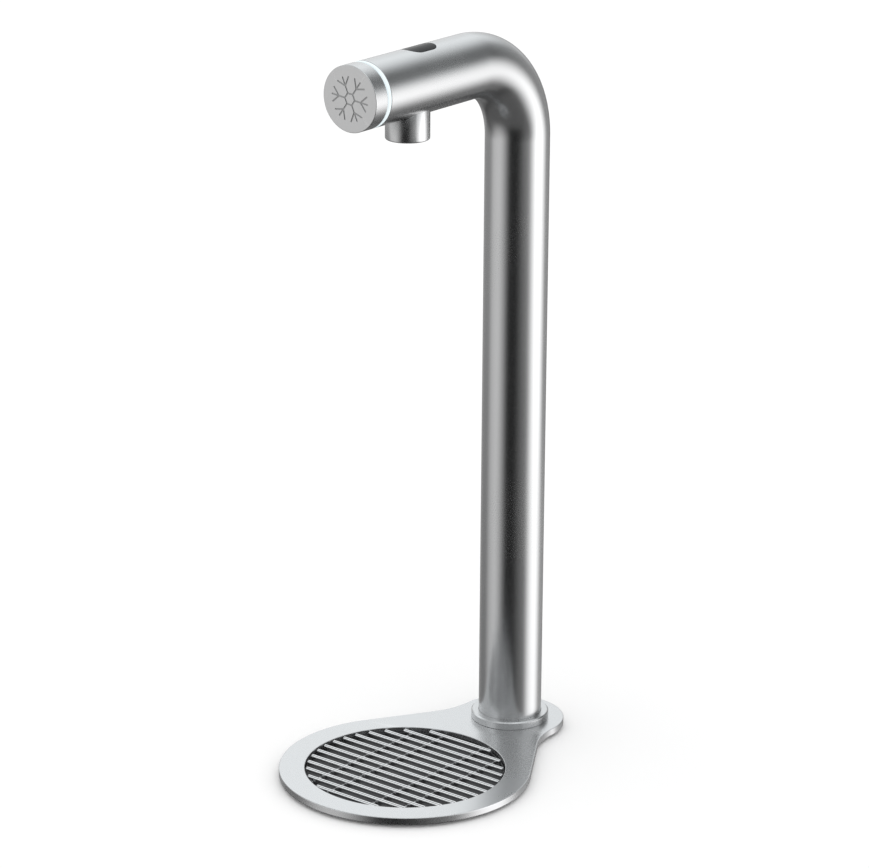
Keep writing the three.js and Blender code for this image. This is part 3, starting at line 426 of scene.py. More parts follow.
def make_edge_group():
    """Picks out convex edges, where handling keeps the metal bright."""
    group, put, take = node_group(
        "edge_polish",
        [("Pointiness", "NodeSocketFloat", 0.5), ("Breakup", "NodeSocketFloat", 0.5)],
        [("Edge", "NodeSocketFloat")],
    )
    w = Wires(group)
    edge = w.span(put.outputs["Pointiness"], 0.52, 0.62)
    w.link(w.math("MULTIPLY", edge, w.span(put.outputs["Breakup"], 0.2, 0.6, 0.55, 1.0)), take.inputs["Edge"])
    return group


GRAIN = make_grain_group()
EDGE = make_edge_group()


def start_material(name, **constants):
    """A material with its Principled shader, whose even values are set on the shader itself."""
    material = bpy.data.materials.new(name)
    material.use_nodes = True
    w = Wires(material.node_tree)
    shader = material.node_tree.nodes["Principled BSDF"]
    for key, value in constants.items():
        shader.inputs[key.replace("_", " ")].default_value = value
    return material, w, shader


def coordinates(w, follows_surface):
    node = w.add("ShaderNodeTexCoord")
    return node.outputs["UV" if follows_surface else "Object"]


def tinted(colour, share=1.0):
    """A shader colour, made a share darker or lighter."""
    return (*[min(1.0, c * share) for c in colour], 1)


def marks_on(w, where, **sizes):
    """The satin_grain group laid over a surface, with its inputs given by name."""
    values = {label.replace("_", " "): value for label, value in sizes.items()}
    return w.add("ShaderNodeGroup", {"Vector": where, **values}, node_tree=GRAIN).outputs


def steel(name, colour, roughness, grain=0.0003, stretch=(1, 1, 1), bump=0.05, surface=False, edge=0.5):
    """Stainless steel with polishing marks, patches of handling and bright edges."""
    material, w, shader = start_material(name, Metallic=1.0)
    marks = marks_on(w, coordinates(w, surface), Stretch=stretch, Grain_Size=grain, Patch_Size=0.09)
    pointiness = w.add("ShaderNodeNewGeometry").outputs["Pointiness"]
    worn_by = {"Pointiness": pointiness, "Breakup": marks["Patches"]}
    worn = w.add("ShaderNodeGroup", worn_by, node_tree=EDGE).outputs["Edge"]
    shaded = w.mix(marks["Patches"], tinted(colour, HANDLED_TONE), tinted(colour))
    fine = w.span(marks["Grain"], 0.3, 0.7, 0.0, 0.3)
    streaked = w.mix(fine, shaded, tinted(colour, STREAK_TONE))
    edged = w.mix(w.math("MULTIPLY", worn, edge), streaked, tinted(colour, EDGE_TONE))
    w.link(edged, shader.inputs["Base Color"])
    patchy = w.span(marks["Patches"], 0, 1, roughness, roughness + HANDLED_ROUGHNESS)
    rough = w.math("ADD", patchy, w.span(marks["Speckle"], 0, 1, -0.01, 0.01))
    w.link(w.math("SUBTRACT", rough, w.math("MULTIPLY", worn, EDGE_SHINE)), shader.inputs["Roughness"])
    relief = w.add("ShaderNodeBump", {"Strength": bump, "Distance": 0.00002, "Height": marks["Grain"]})
    w.link(relief.outputs[0], shader.inputs["Normal"])
    return material


def moulded(name, dark, light, roughness, grain=0.0006, bump=0.25, **constants):
    """A moulded plastic or rubber part: an uneven sheen and a fine texture."""
    material, w, shader = start_material(name, **constants)
    marks = marks_on(w, coordinates(w, False), Grain_Size=grain, Patch_Size=0.02)
    tone = w.math("MULTIPLY", w.math("ADD", marks["Patches"], marks["Speckle"]), 0.5)
    w.link(w.mix(tone, tinted(dark), tinted(light)), shader.inputs["Base Color"])
    sheen = w.span(marks["Patches"], 0, 1, roughness - SHEEN_SPREAD, roughness + SHEEN_SPREAD)
    w.link(sheen, shader.inputs["Roughness"])
    relief = w.add("ShaderNodeBump", {"Strength": bump, "Distance": 0.00003, "Height": marks["Speckle"]})
    w.link(relief.outputs[0], shader.inputs["Normal"])
    return material


STEEL_TONE = (0.622, 0.624, 0.628)
HANDLED_TONE = 0.985
HANDLED_ROUGHNESS = 0.02
STREAK_TONE = 0.98
EDGE_TONE = 1.12
EDGE_SHINE = 0.04
SHEEN_SPREAD = 0.06

# ------------------------------------------------------------------ materials, each made once


@functools.cache
def satin_tube():
    return steel(
        "satin_tube_steel", STEEL_TONE, 0.25, grain=0.0005, stretch=(0.08, 1, 1), bump=0.012, surface=True
    )


@functools.cache
def satin_plate():
    colour = (0.648, 0.65, 0.656)
    return steel("satin_plate_steel", colour, 0.27, grain=0.0006, stretch=(0.3, 1, 1), bump=0.006)


@functools.cache
def satin_turned():
    return steel("satin_turned_steel", STEEL_TONE, 0.25, grain=0.0005, bump=0.02)


@functools.cache
def button_face():
    return steel("blasted_button_steel", (0.67, 0.67, 0.672), 0.3, grain=0.0005, bump=0.08, edge=0.0)


@functools.cache
def etched_line():
    return steel("etched_line_steel", (0.47, 0.47, 0.472), 0.45, grain=0.0002, bump=0.3, edge=0.0)


# Painted highlight: the bars' steel is made much lighter than the other steel, to stand in for the light on
# their tops.
@functools.cache
def drawn_bar_painted_highlight():
    return steel("bar_steel_painted_highlight", (0.84, 0.84, 0.845), 0.17, grain=0.0004, stretch=(0.08, 1, 1), bump=0.02)


# Painted shade: the cross rods are the bars' own drawn steel, made darker to stand in for the shade under the
# bars.
@functools.cache
def drawn_cross_painted_shade():
    colour = (0.5, 0.5, 0.505)
    return steel("cross_rod_steel_painted_shade", colour, 0.24, grain=0.0004, stretch=(1, 0.08, 1), bump=0.02)


@functools.cache
def screw_steel():
    return steel("screw_steel", (0.55, 0.55, 0.56), 0.3, grain=0.0002, bump=0.2)


@functools.cache
def spring_steel():
    return steel("spring_steel", (0.42, 0.42, 0.44), 0.3, grain=0.0002, bump=0.15)


@functools.cache
def inner_steel():
    return steel("plain_inner_steel", (0.58, 0.58, 0.59), 0.32, grain=0.0004, bump=0.15)


@functools.cache
def fitting_brass():
    return steel("machined_brass", (0.62, 0.42, 0.16), 0.3, grain=0.0002, bump=0.15)


@functools.cache
def black_plastic():
    return moulded("black_moulded_plastic", (0.012, 0.012, 0.013), (0.02, 0.02, 0.022), 0.5)


# Painted shade: the pan is made near black to stand in for the shade under and between the grille's bars.
@functools.cache
def pan_painted_shade():
    return moulded("pan_dark_painted_shade", (0.035, 0.035, 0.037), (0.05, 0.05, 0.053), 0.5)


@functools.cache
def white_plastic():
    return moulded("white_food_grade_plastic", (0.78, 0.78, 0.76), (0.86, 0.86, 0.84), 0.4)


@functools.cache
def window_acrylic():
    dark, light = (0.01, 0.0105, 0.0115), (0.014, 0.0145, 0.016)
    return moulded("dark_window_acrylic", dark, light, 0.2, bump=0.02, Specular_IOR_Level=0.06)


@functools.cache
def mat_silicone():
    return moulded("black_silicone", (0.018, 0.018, 0.019), (0.03, 0.03, 0.031), 0.7, grain=0.001)


@functools.cache
def diode_white():
    return moulded("diode_package", (0.82, 0.8, 0.66), (0.9, 0.88, 0.76), 0.3)


@functools.cache
def hose_plastic():
    return moulded("milky_hose", (0.72, 0.75, 0.75), (0.82, 0.84, 0.84), 0.35)


@functools.cache
def cable_jacket():
    return moulded("black_cable_jacket", (0.014, 0.014, 0.015), (0.024, 0.024, 0.026), 0.55)


@functools.cache
def ring_glow():
    """Opal acrylic lit from behind, with a faint soft variation in its light."""
    colour = (0.9, 0.97, 1.0)
    material, w, shader = start_material("lit_opal_ring", Roughness=0.35, Emission_Strength=0.62)
    marks = marks_on(w, coordinates(w, False), Patch_Size=0.012)
    cooler = [c * k for c, k in zip(colour, (0.95, 0.98, 1.0))]
    w.link(w.mix(marks["Patches"], tinted(cooler), tinted(colour)), shader.inputs["Emission Color"])
    opal = w.mix(marks["Speckle"], (0.34, 0.38, 0.38, 1), (0.36, 0.4, 0.4, 1))
    w.link(opal, shader.inputs["Base Color"])
    return material


@functools.cache
def board_green():
    """Green solder mask over a faint raster of tracks."""
    material, w, shader = start_material("green_circuit_board", Coat_Weight=0.3)
    where = coordinates(w, False)
    tracks = w.add("ShaderNodeTexBrick", {"Vector": where, "Scale": 260.0, "Mortar Size": 0.03})
    tracks.inputs["Color1"].default_value = (0.02, 0.16, 0.07, 1)
    tracks.inputs["Color2"].default_value = (0.03, 0.2, 0.09, 1)
    tracks.inputs["Mortar"].default_value = (0.06, 0.3, 0.12, 1)
    w.link(tracks.outputs["Color"], shader.inputs["Base Color"])
    w.link(w.span(marks_on(w, where)["Patches"], 0, 1, 0.35, 0.5), shader.inputs["Roughness"])
    return material


BY_SLOT = {
    "satin_steel": inner_steel,
    "bright_steel": screw_steel,
    "zinc_screw": screw_steel,
    "spring_steel": spring_steel,
    "brass_fitting": fitting_brass,
    "black_plastic": black_plastic,
    "white_plastic": white_plastic,
    "dark_acrylic": window_acrylic,
    "lit_acrylic": ring_glow,
    "silicone": mat_silicone,
    "circuit_board": board_green,
    "led_body": diode_white,
    "hose": hose_plastic,
    "cable": cable_jacket,
}


def finish_carried_nodes():
    """Gives every CAD node the material of its slot."""
    for entry in frame["record"]["subparts"]:
        for material_slot in frame["nodes"][entry["node"]].material_slots:
            material_slot.material = BY_SLOT[entry["material_slot"]]()


# ------------------------------------------------------------------ base plate and mat


def base_outline(inset):
    """The lobe round the tower, a hollow neck, a straight tangent and the disc round the tray."""
    reach = TOWER_Y - TRAY_Y
    neck_x = LOBE_RADIUS + NECK_RADIUS
    apart = math.hypot(neck_x, reach)
    tangent = math.atan2(reach, neck_x) - math.acos((NECK_RADIUS + PLATE_RADIUS) / apart)
    pi = math.pi
    return (
        arc(0, TOWER_Y, LOBE_RADIUS - inset, 0, pi, 72)
        + arc(-neck_x, TOWER_Y, NECK_RADIUS + inset, 0, -tangent, 28)
        + arc(0, TRAY_Y, PLATE_RADIUS - inset, pi - tangent, 2 * pi + tangent, 176)
        + arc(neck_x, TOWER_Y, NECK_RADIUS + inset, pi + tangent, pi, 28)
    )


def sheet_metal(name, edge, holes, outline=base_outline):
    """A flat piece. edge is its (inset, z) profile from the bottom to the top.

    Each hole is a centre, its own (radius, z) profile from the top down, and whether it is blind.
    """
    points, faces = [], []

    def add_ring(corners, z):
        points.extend(Vector((x, y, z)) for x, y in corners)
        return list(range(len(points) - len(corners), len(points)))

    def wall(rings):
        for lower, upper in zip(rings, rings[1:]):
            for k in range(len(lower)):
                m = (k + 1) % len(lower)
                faces.append((lower[k], lower[m], upper[m], upper[k]))

    side = [add_ring(outline(inset), z) for inset, z in edge]
    wall(side)
    top, bottom = [side[-1]], [side[0]]
    for (x, y), profile, blind in holes:
        rings = [add_ring(circle(x, y, r), z) for r, z in profile]
        wall(rings)
        top.append(rings[0])
        if blind:
            faces.append(tuple(rings[-1]))
        else:
            bottom.append(rings[-1])
    for loops in (top, bottom):
        order = [i for loop in loops for i in loop]
        for a, b, c in tessellate_polygon([[points[i] for i in loop] for loop in loops]):
            faces.append((order[a], order[b], order[c]))
    return mesh_of(name, points, faces)


def edge_profile(low, high, top_round, bottom_round, support=0.3 * MM, calm=0.7 * MM, steps=4):
    """(inset, z) from the bottom face to the top face with both edges rounded.

    support and calm space two lines on each flat face, so that the edge's shading and wear end there.
    """
    line = [(bottom_round + support + calm, low), (bottom_round + support, low)]
    for k in range(steps + 1):
        a = math.pi / 2 * k / steps
        line.append((bottom_round * (1 - math.sin(a)), low + bottom_round * (1 - math.cos(a))))
    line += [(0, low + bottom_round + support), (0, high - top_round - support)]
    for k in range(steps + 1):
        a = math.pi / 2 * k / steps
        line.append((top_round * (1 - math.cos(a)), high - top_round * (1 - math.sin(a))))
    line += [(top_round + support, high), (top_round + support + calm, high)]
    return line


def hole_profile(radius, low, high, rim):
    """(radius, z) from the top face down to the bottom face."""
    profile = edge_profile(low, high, rim, rim, support=0.2 * MM, calm=0.2 * MM, steps=3)
    return [(radius + inset, z) for inset, z in reversed(profile)]


def base_plate():
    low, high = plate_low.z, plate_high.z
    holes = [
        ((0, TRAY_Y), hole_profile(TRAY_OPENING, low, high, 0.3 * MM), False),
        ((0, INLET_Y), hole_profile(INLET_HOLE, low, high, SERVICE_HOLE_RIM), False),
        ((0, CONNECTOR_Y), hole_profile(CABLE_HOLE, low, high, SERVICE_HOLE_RIM), False),
    ]
    mesh = sheet_metal("base_plate_satin", edge_profile(low, high, PLATE_EDGE, PLATE_EDGE), holes)
    finished("base_plate_satin", mesh, [satin_plate()], "stand", ["base_plate"])


def base_mat():
    low, high = mat_low.z, mat_high.z
    holes = [
        ((0, TRAY_Y), [(TRAY_OPENING, high), (TRAY_OPENING, MAT_FLOOR)], True),
        ((0, TOWER_Y), hole_profile(SERVICE_HOLE, low, high, SERVICE_HOLE_RIM), False),
    ]
    edge = edge_profile(low, high, 0.25 * MM, 0.4 * MM)
    mesh = sheet_metal("base_mat_rubber", edge, holes, outline=lambda inset: base_outline(inset + MAT_INSET))
    finished("base_mat_rubber", mesh, [mat_silicone()], "stand", ["base_mat"])


# ------------------------------------------------------------------ drip pan and grille


def drip_pan():
    radius = pan_high.x
    inner = radius - PAN_WALL
    floor = pan_low.z + PAN_FLOOR
    profile = rounded([
        (0, pan_low.z, 0),
        (radius, pan_low.z, 0.8 * MM),
        (radius, pan_high.z, 0.3 * MM),
        (inner, pan_high.z, 0.3 * MM),
        (inner, floor, 0.6 * MM),
        (0, floor, 0),
    ])
    mesh = turned("drip_pan_moulded", profile, upright(TRAY_Y))
    # The pan's dark material is painted shade under the grille.
    finished("drip_pan_moulded", mesh, [pan_painted_shade()], "drip_pan", ["drip_pan"])


ROD_INPUTS = {
    "Count": "NodeSocketInt",
    "Spacing": "NodeSocketFloat",
    "Reach": "NodeSocketFloat",
    "Rod Radius": "NodeSocketFloat",
    "Chamfer": "NodeSocketFloat",
    "Facets": "NodeSocketInt",
    "Centre": "NodeSocketVector",
    "Turn": "NodeSocketFloat",
    "Material": "NodeSocketMaterial",
}


def position(w):
    """The X, Y and Z outputs of each point's position."""
    here = w.add("GeometryNodeInputPosition").outputs[0]
    return w.add("ShaderNodeSeparateXYZ", {0: here}).outputs


def rod_places(w, put):
    """One point for each rod, along Y."""
    middle = w.math("MULTIPLY", w.math("SUBTRACT", put["Count"], 1.0), 0.5)
    index = w.add("GeometryNodeInputIndex").outputs[0]
    offset = w.math("MULTIPLY", w.math("SUBTRACT", index, middle), put["Spacing"])
    place = w.add("ShaderNodeCombineXYZ", {"Y": offset}).outputs[0]
    return w.add("GeometryNodePoints", {"Count": put["Count"], "Position": place}).outputs[0]


def unit_rod(w, put):
    """A rod from X = -1 to 1 with four rings: the two inner ones become the shoulders of the chamfers."""
    rod = w.add("GeometryNodeMeshCylinder", {
        "Vertices": put["Facets"], "Side Segments": 3, "Radius": put["Rod Radius"], "Depth": 2.0,
    })
    laid = w.add("GeometryNodeTransform", {"Geometry": rod.outputs["Mesh"], "Rotation": (0, math.pi / 2, 0)})
    spot = position(w)
    at_end = w.math("GREATER_THAN", w.math("ABSOLUTE", spot["X"]), 0.9)
    shrink = w.math("DIVIDE", w.math("SUBTRACT", put["Rod Radius"], put["Chamfer"]), put["Rod Radius"])
    narrow = w.math("ADD", 1.0, w.math("MULTIPLY", at_end, w.math("SUBTRACT", shrink, 1.0)))
    shaped = w.add("ShaderNodeCombineXYZ", {
        "X": w.math("SIGN", spot["X"]),
        "Y": w.math("MULTIPLY", spot["Y"], narrow),
        "Z": w.math("MULTIPLY", spot["Z"], narrow),
    })
    marked = w.add("GeometryNodeStoreNamedAttribute", {
        "Geometry": laid.outputs[0], "Name": "shoulder", "Value": w.math("SUBTRACT", 1.0, at_end),
    }, data_type="FLOAT", domain="POINT")
    moved = w.add("GeometryNodeSetPosition", {"Geometry": marked.outputs[0], "Position": shaped.outputs[0]})
    return moved.outputs[0]


def rods_out_to_circle(w, put, places, rod):
    """A rod on each point, drawn out until its ends meet a circle."""
    outer = w.math("ADD", w.math("ABSOLUTE", position(w)["Y"]), put["Rod Radius"])
    reach_squared = w.math("MULTIPLY", put["Reach"], put["Reach"])
    squared = w.math("SUBTRACT", reach_squared, w.math("MULTIPLY", outer, outer))
    half = w.math("SQRT", w.math("MAXIMUM", squared, 0.0))
    size = w.add("ShaderNodeCombineXYZ", {"X": half, "Y": 1.0, "Z": 1.0}).outputs[0]
    rods = w.add("GeometryNodeInstanceOnPoints", {"Points": places, "Instance": rod, "Scale": size})
    return w.add("GeometryNodeRealizeInstances", {"Geometry": rods.outputs[0]}).outputs[0]


def shoulders_drawn_in(w, put, geometry):
    """Moves the inner rings a chamfer's length in from the ends."""
    shoulder = w.add("GeometryNodeInputNamedAttribute", {"Name": "shoulder"}, data_type="FLOAT").outputs[0]
    sideways = w.math("MULTIPLY", w.math("SIGN", position(w)["X"]), put["Chamfer"])
    inwards = w.math("MULTIPLY", sideways, w.math("MULTIPLY", shoulder, -1.0))
    offset = w.add("ShaderNodeCombineXYZ", {"X": inwards}).outputs[0]
    return w.add("GeometryNodeSetPosition", {"Geometry": geometry, "Offset": offset}).outputs[0]


def make_rods_tree():
    """Parallel round rods whose ends follow a circle, with small chamfers on their ends."""
    tree = bpy.data.node_groups.new("rods_across_a_circle", "GeometryNodeTree")
    for label, kind in ROD_INPUTS.items():
        tree.interface.new_socket(label, in_out="INPUT", socket_type=kind)
    tree.interface.new_socket("Geometry", in_out="OUTPUT", socket_type="NodeSocketGeometry")
    w = Wires(tree)
    put = tree.nodes.new("NodeGroupInput").outputs
    take = tree.nodes.new("NodeGroupOutput")
    rods = rods_out_to_circle(w, put, rod_places(w, put), unit_rod(w, put))
    ends = shoulders_drawn_in(w, put, rods)
    turn = w.add("ShaderNodeCombineXYZ", {"Z": put["Turn"]}).outputs[0]
    placed = w.add("GeometryNodeTransform", {
        "Geometry": ends, "Translation": put["Centre"], "Rotation": turn,
    }).outputs[0]
    done = w.add("GeometryNodeSetMaterial", {"Geometry": placed, "Material": put["Material"]})
    w.link(done.outputs[0], take.inputs["Geometry"])
    return tree


RODS = make_rods_tree()


def rods(name, material, **sizes):
    holder = scratch(bpy.data.meshes.new(name))
    step = holder.modifiers.new("rods", "NODES")
    step.node_group = RODS
    values = {label.replace("_", " "): value for label, value in sizes.items()}
    values["Material"] = material
    for socket in RODS.interface.items_tree:
        if socket.in_out == "INPUT":
            step[socket.identifier] = values[socket.name]
    return evaluated(holder, name)


def grille_bars():
    # The bars' lighter steel is a painted highlight.
    bars = rods(
        "grille_bars", drawn_bar_painted_highlight(), Count=BAR_COUNT, Spacing=BAR_PITCH, Reach=BAR_REACH,
        Rod_Radius=BAR_RADIUS, Chamfer=0.3 * MM, Facets=32, Centre=(0, TRAY_Y, BAR_AXIS), Turn=0.0,
    )
    finished("grille_bars", bars, [], "drip_grille", ["drip_grille"], sharp=40)


def grille_cross_rods(number, spacing):
    name = f"grille_cross_rods_{number}"
    # The cross rods' darker steel is painted shade under the bars.
    crossing = rods(
        name, drawn_cross_painted_shade(), Count=2, Spacing=spacing, Reach=CROSS_ROD_REACH, Rod_Radius=CROSS_ROD_RADIUS,
        Chamfer=0.2 * MM, Facets=24, Centre=(0, TRAY_Y, CROSS_AXIS), Turn=math.pi / 2,
    )
    finished(name, crossing, [], "drip_grille", ["drip_grille"], sharp=40)


# ------------------------------------------------------------------ tower tube


def tube_station(s):
    """The tube's axis at a distance s from its foot: a point and its direction, both in the plane X = 0."""
    if s <= TUBE_RISE:
        return Vector((0, TOWER_Y, TUBE_FOOT + s)), Vector((0, 0, 1))
    if s <= TUBE_RISE + TUBE_BEND:
        a = (s - TUBE_RISE) / BEND_RADIUS
        centre = Vector((0, TOWER_Y - BEND_RADIUS, ARM_Z - BEND_RADIUS))
        out = Vector((0, math.cos(a), math.sin(a)))
        return centre + out * BEND_RADIUS, Vector((0, -math.sin(a), math.cos(a)))
    return Vector((0, TOWER_Y - BEND_RADIUS - (s - TUBE_RISE - TUBE_BEND), ARM_Z)), Vector((0, -1, 0))


def tube_place(point):
    """Distance along the tube and the radial direction of a point near its wall."""
    corner = Vector((0, TOWER_Y - BEND_RADIUS, ARM_Z - BEND_RADIUS))
    if point.z < corner.z:
        s = point.z - TUBE_FOOT
    elif point.y < corner.y:
        s = TUBE_RISE + TUBE_BEND + corner.y - point.y
    else:
        s = TUBE_RISE + BEND_RADIUS * math.atan2(point.z - corner.z, point.y - corner.y)
    axis, _ = tube_station(s)
    return s, point - axis


def upwards(way):
    """The direction square to the tube's own that turns with it through the bend."""
    return Vector((1, 0, 0)).cross(way)


def tube_stations():
    """Distances along the tube where its mesh has a ring, closer together at its ends and in its bend."""
    ends = [k * TUBE_EDGE for k in (1, 3, 8)]
    tail = TUBE_LENGTH - TUBE_RISE - TUBE_BEND
    rise = [TUBE_RISE * k / RISE_RINGS for k in range(1, RISE_RINGS + 1)]
    bend = [TUBE_RISE + TUBE_BEND * k / BEND_RINGS for k in range(1, BEND_RINGS + 1)]
    arm = [TUBE_RISE + TUBE_BEND + tail * k / ARM_RINGS for k in range(1, ARM_RINGS)]
    return ends + rise + bend + arm + [TUBE_LENGTH - e for e in reversed(ends)]


def tube_mesh(sides=144):
    stations = tube_stations()
    loop = [(s, TUBE_RADIUS) for s in stations]
    loop += [(TUBE_LENGTH, TUBE_RADIUS - TUBE_EDGE), (TUBE_LENGTH, TUBE_BORE + TUBE_EDGE)]
    loop += [(s, TUBE_BORE) for s in reversed(stations)]
    loop += [(0, TUBE_BORE + TUBE_EDGE), (0, TUBE_RADIUS - TUBE_EDGE)]
    points = []
    for i in range(sides):
        a = 2 * math.pi * i / sides
        for s, r in loop:
            axis, way = tube_station(s)
            points.append(axis + Vector((r * math.cos(a), 0, 0)) + upwards(way) * (r * math.sin(a)))
    return mesh_of("tower_tube_blank", points, ring_faces(sides, len(loop)))


def tube_turn(point):
    """Distance along the tube, radial direction and angle round it."""
    s, out = tube_place(point)
    _, way = tube_station(s)
    return s, out, math.atan2(out.dot(upwards(way)), out.x)


def smooth_tube(mesh):
    """Normals of a true tube on the wall's faces, and a map that runs along the tube and round it."""
    mesh.shade_smooth()
    mesh.set_sharp_from_angle(angle=math.radians(30))
    wrap = mesh.uv_layers.new(name="along_the_tube")
    normals = [(0, 0, 0)] * len(mesh.loops)
    for face in mesh.polygons:
        _, _, middle = tube_turn(face.center)
        for loop in face.loop_indices:
            s, out, turn = tube_turn(mesh.vertices[mesh.loops[loop].vertex_index].co)
            turn = middle + (turn - middle + math.pi) % (2 * math.pi) - math.pi
            wrap.data[loop].uv = (s, turn * TUBE_RADIUS)
            facing = face.normal.dot(out.normalized())
            if abs(out.length - TUBE_RADIUS) < WALL_TOLERANCE and facing > 0.9:
                normals[loop] = tuple(out.normalized())
            elif abs(out.length - TUBE_BORE) < WALL_TOLERANCE and facing < -0.9:
                normals[loop] = tuple(-out.normalized())
    mesh.normals_split_custom_set(normals)


def tube_cutters():
    """The window's slot in the top of the arm, and the spout's and the grub screw's holes below."""
    outline = obround(WINDOW_WIDTH + 2 * SLOT_GAP, WINDOW_LENGTH + 2 * SLOT_GAP)
    slot_low, slot_high = ARM_Z + CUTTER_START, ARM_Z + CUTTER_END
    stem = circle(0, 0, SPOUT_BORE, 48)
    grub = circle(0, 0, GRUB_HOLE, 32)
    return [
        prism("window_slot", outline, upright(WINDOW_Y), slot_low, slot_high),
        prism("stem_hole", stem, downwards(SPOUT_Y), CUTTER_START, CUTTER_END),
        prism("grub_hole", grub, downwards(GRUB_Y), CUTTER_START, CUTTER_END),
    ]


def tower_tube():
    tube = cut(tube_mesh(), tube_cutters())
    smooth_tube(tube)
    finished("tower_tube_satin", tube, [satin_tube()], "stand", ["tower_tube"], sharp=None)


# ------------------------------------------------------------------ foot collar


def foot_collar():
    radius = collar_high.x
    bore = TUBE_RADIUS + COLLAR_GAP
    profile = rounded([
        (bore, collar_low.z, 0),
        (radius, collar_low.z, 0.15 * MM),
        (radius, collar_high.z - COLLAR_CHAMFER, 0.25 * MM),
        (radius - COLLAR_CHAMFER, collar_high.z, 0.25 * MM),
        (bore, collar_high.z, 0.12 * MM),
    ], support=0.15 * MM)
    collar = turned("foot_collar_satin", profile, upright(TOWER_Y))
    finished("foot_collar_satin", collar, [satin_turned()], "stand", ["foot_collar"])


# ------------------------------------------------------------------ spout


def seat_height(radius, across):
    """How far below the arm's axis the sleeve meets the tube, at a radius from the spout's axis."""
    return -math.sqrt(SPOUT_SEAT**2 - (radius * across) ** 2)


def sleeve_mesh(sides=144):
    """A turned sleeve whose top follows the tube's underside."""
    low = sleeve_low.z - ARM_Z
    outer = rounded([
        (SPOUT_POCKET, low, 0.25 * MM),
        (SPOUT_RADIUS, low, 0.8 * MM),
        (SPOUT_RADIUS, low + 6 * MM, 0),
    ], support=0.2 * MM, steps=6)[:-1]
    outer = [p for p in outer if p[0] > SPOUT_POCKET - 0.01 * MM]
    points = []
    for i in range(sides):
        a = 2 * math.pi * i / sides
        across = math.cos(a)
        column = outer + [
            (SPOUT_RADIUS, seat_height(SPOUT_RADIUS, across) - 0.2 * MM),
            (SPOUT_RADIUS - 0.1 * MM, seat_height(SPOUT_RADIUS, across)),
            (SPOUT_BORE, seat_height(SPOUT_BORE, across)),
            (SPOUT_BORE, low + POCKET_DEPTH),
            (SPOUT_POCKET, low + POCKET_DEPTH),
        ]
        points += [Vector((r * across, SPOUT_Y + r * math.sin(a), ARM_Z + h)) for r, h in column]
    return mesh_of("spout_sleeve_satin", points, ring_faces(sides, len(column)))


def spout_sleeve():
    finished("spout_sleeve_satin", sleeve_mesh(), [satin_turned()], "stand", ["nozzle_sleeve"])


def outlet_ring():
    radius = outlet_high.x
    profile = rounded([
        (radius - OUTLET_WALL, outlet_low.z, 0.5 * MM),
        (radius, outlet_low.z, 0.2 * MM),
        (radius, outlet_high.z, 0),
        (radius - OUTLET_WALL, outlet_high.z, 0),
    ])
    outlet = turned("outlet_ring_moulded", profile, upright(SPOUT_Y))
    finished("outlet_ring_moulded", outlet, [black_plastic()], "stand", ["outlet_ring"])


# ------------------------------------------------------------------ button and light ring


def stroke(name, length, turn, start):
    """A bar with round ends that runs from start in the direction turn, in the plane of the button's face."""
    r = ICON_LINE / 2
    half_turn = [math.pi * k / 10 for k in range(11)]
    outline = [(r * math.cos(a), length + r * math.sin(a)) for a in half_turn]
    outline += [(r * math.cos(math.pi + a), r * math.sin(math.pi + a)) for a in half_turn]
    cosine, sine = math.cos(turn), math.sin(turn)
    placed = [(start[0] + x * cosine - y * sine, start[1] + x * sine + y * cosine) for x, y in outline]
    return prism(name, placed, along_arm, CAP_FACE - ICON_DEPTH, CAP_FACE + 1 * MM)


def snowflake():
    """Cutters for six forked branches from the corners of a hexagon."""
    made = []
    for k in range(6):
        turn = math.radians(ICON_TURN - 90 + 60 * k)
        way = Vector((-math.sin(turn), math.cos(turn)))
        made.append(stroke("branch", ICON_REACH - ICON_HEX, turn, way * ICON_HEX))
        made.append(stroke("hexagon", ICON_HEX, turn + math.radians(120), way * ICON_HEX))
        for lean in (-1, 1):
            made.append(stroke("tine", ICON_TINE, turn + lean * math.radians(ICON_LEAN), way * ICON_FORK))
    return made


def cap_mesh():
    inner = TUBE_RADIUS - CAP_WALL
    floor = CAP_FACE - CAP_THICKNESS
    profile = rounded([
        (0, CAP_FACE, 0),
        (TUBE_RADIUS, CAP_FACE, 0.35 * MM),
        (TUBE_RADIUS, CAP_BACK, 0.2 * MM),
        (inner, CAP_BACK, 0.15 * MM),
        (inner, floor, 0.3 * MM),
        (0, floor, 0),
    ], support=0.2 * MM)
    blank = turned("button_cap_blank", profile, along_arm, sides=160)
    return cut(blank, [joined("snowflake", snowflake())], crossing=True)


def button_cap():
    """The cap, with a blasted face, etched lines and a turned side."""
    cap = cap_mesh()
    materials = [button_face(), etched_line(), satin_turned()]
    finished("button_cap_engraved", cap, materials, "button", ["button_cap"])
    for face in cap.polygons:
        depth = face.center.y - cap_low.y
        off_axis = face.center.x**2 + (face.center.z - ARM_Z) ** 2
        if abs(face.normal.y) > 0.9 and 0.5 * ICON_DEPTH < depth < 1.5 * ICON_DEPTH:
            face.material_index = 1
        elif depth > 0.1 * MM and face.normal.y > -0.9 and off_axis > SIDE_START**2:
            face.material_index = 2


def light_ring():
    profile = rounded([
        (RING_BORE, -ring_high.y, 0),
        (RING_TAIL, -ring_high.y, 0),
        (RING_TAIL, RING_BACK, 0),
        (RING_OUTSIDE, RING_BACK, 0.15 * MM),
        (RING_OUTSIDE, RING_SHOULDER, 0.15 * MM),
        (RING_NECK, RING_SHOULDER, 0),
        (RING_NECK, -ring_low.y, 0.2 * MM),
        (RING_BORE, -ring_low.y, 0.2 * MM),
    ], support=0.1 * MM)
    lit = turned("light_ring_opal", profile, along_arm)
    finished("light_ring_opal", lit, [ring_glow()], "stand", ["light_ring"])


# ------------------------------------------------------------------ sensor window and the screw under the arm


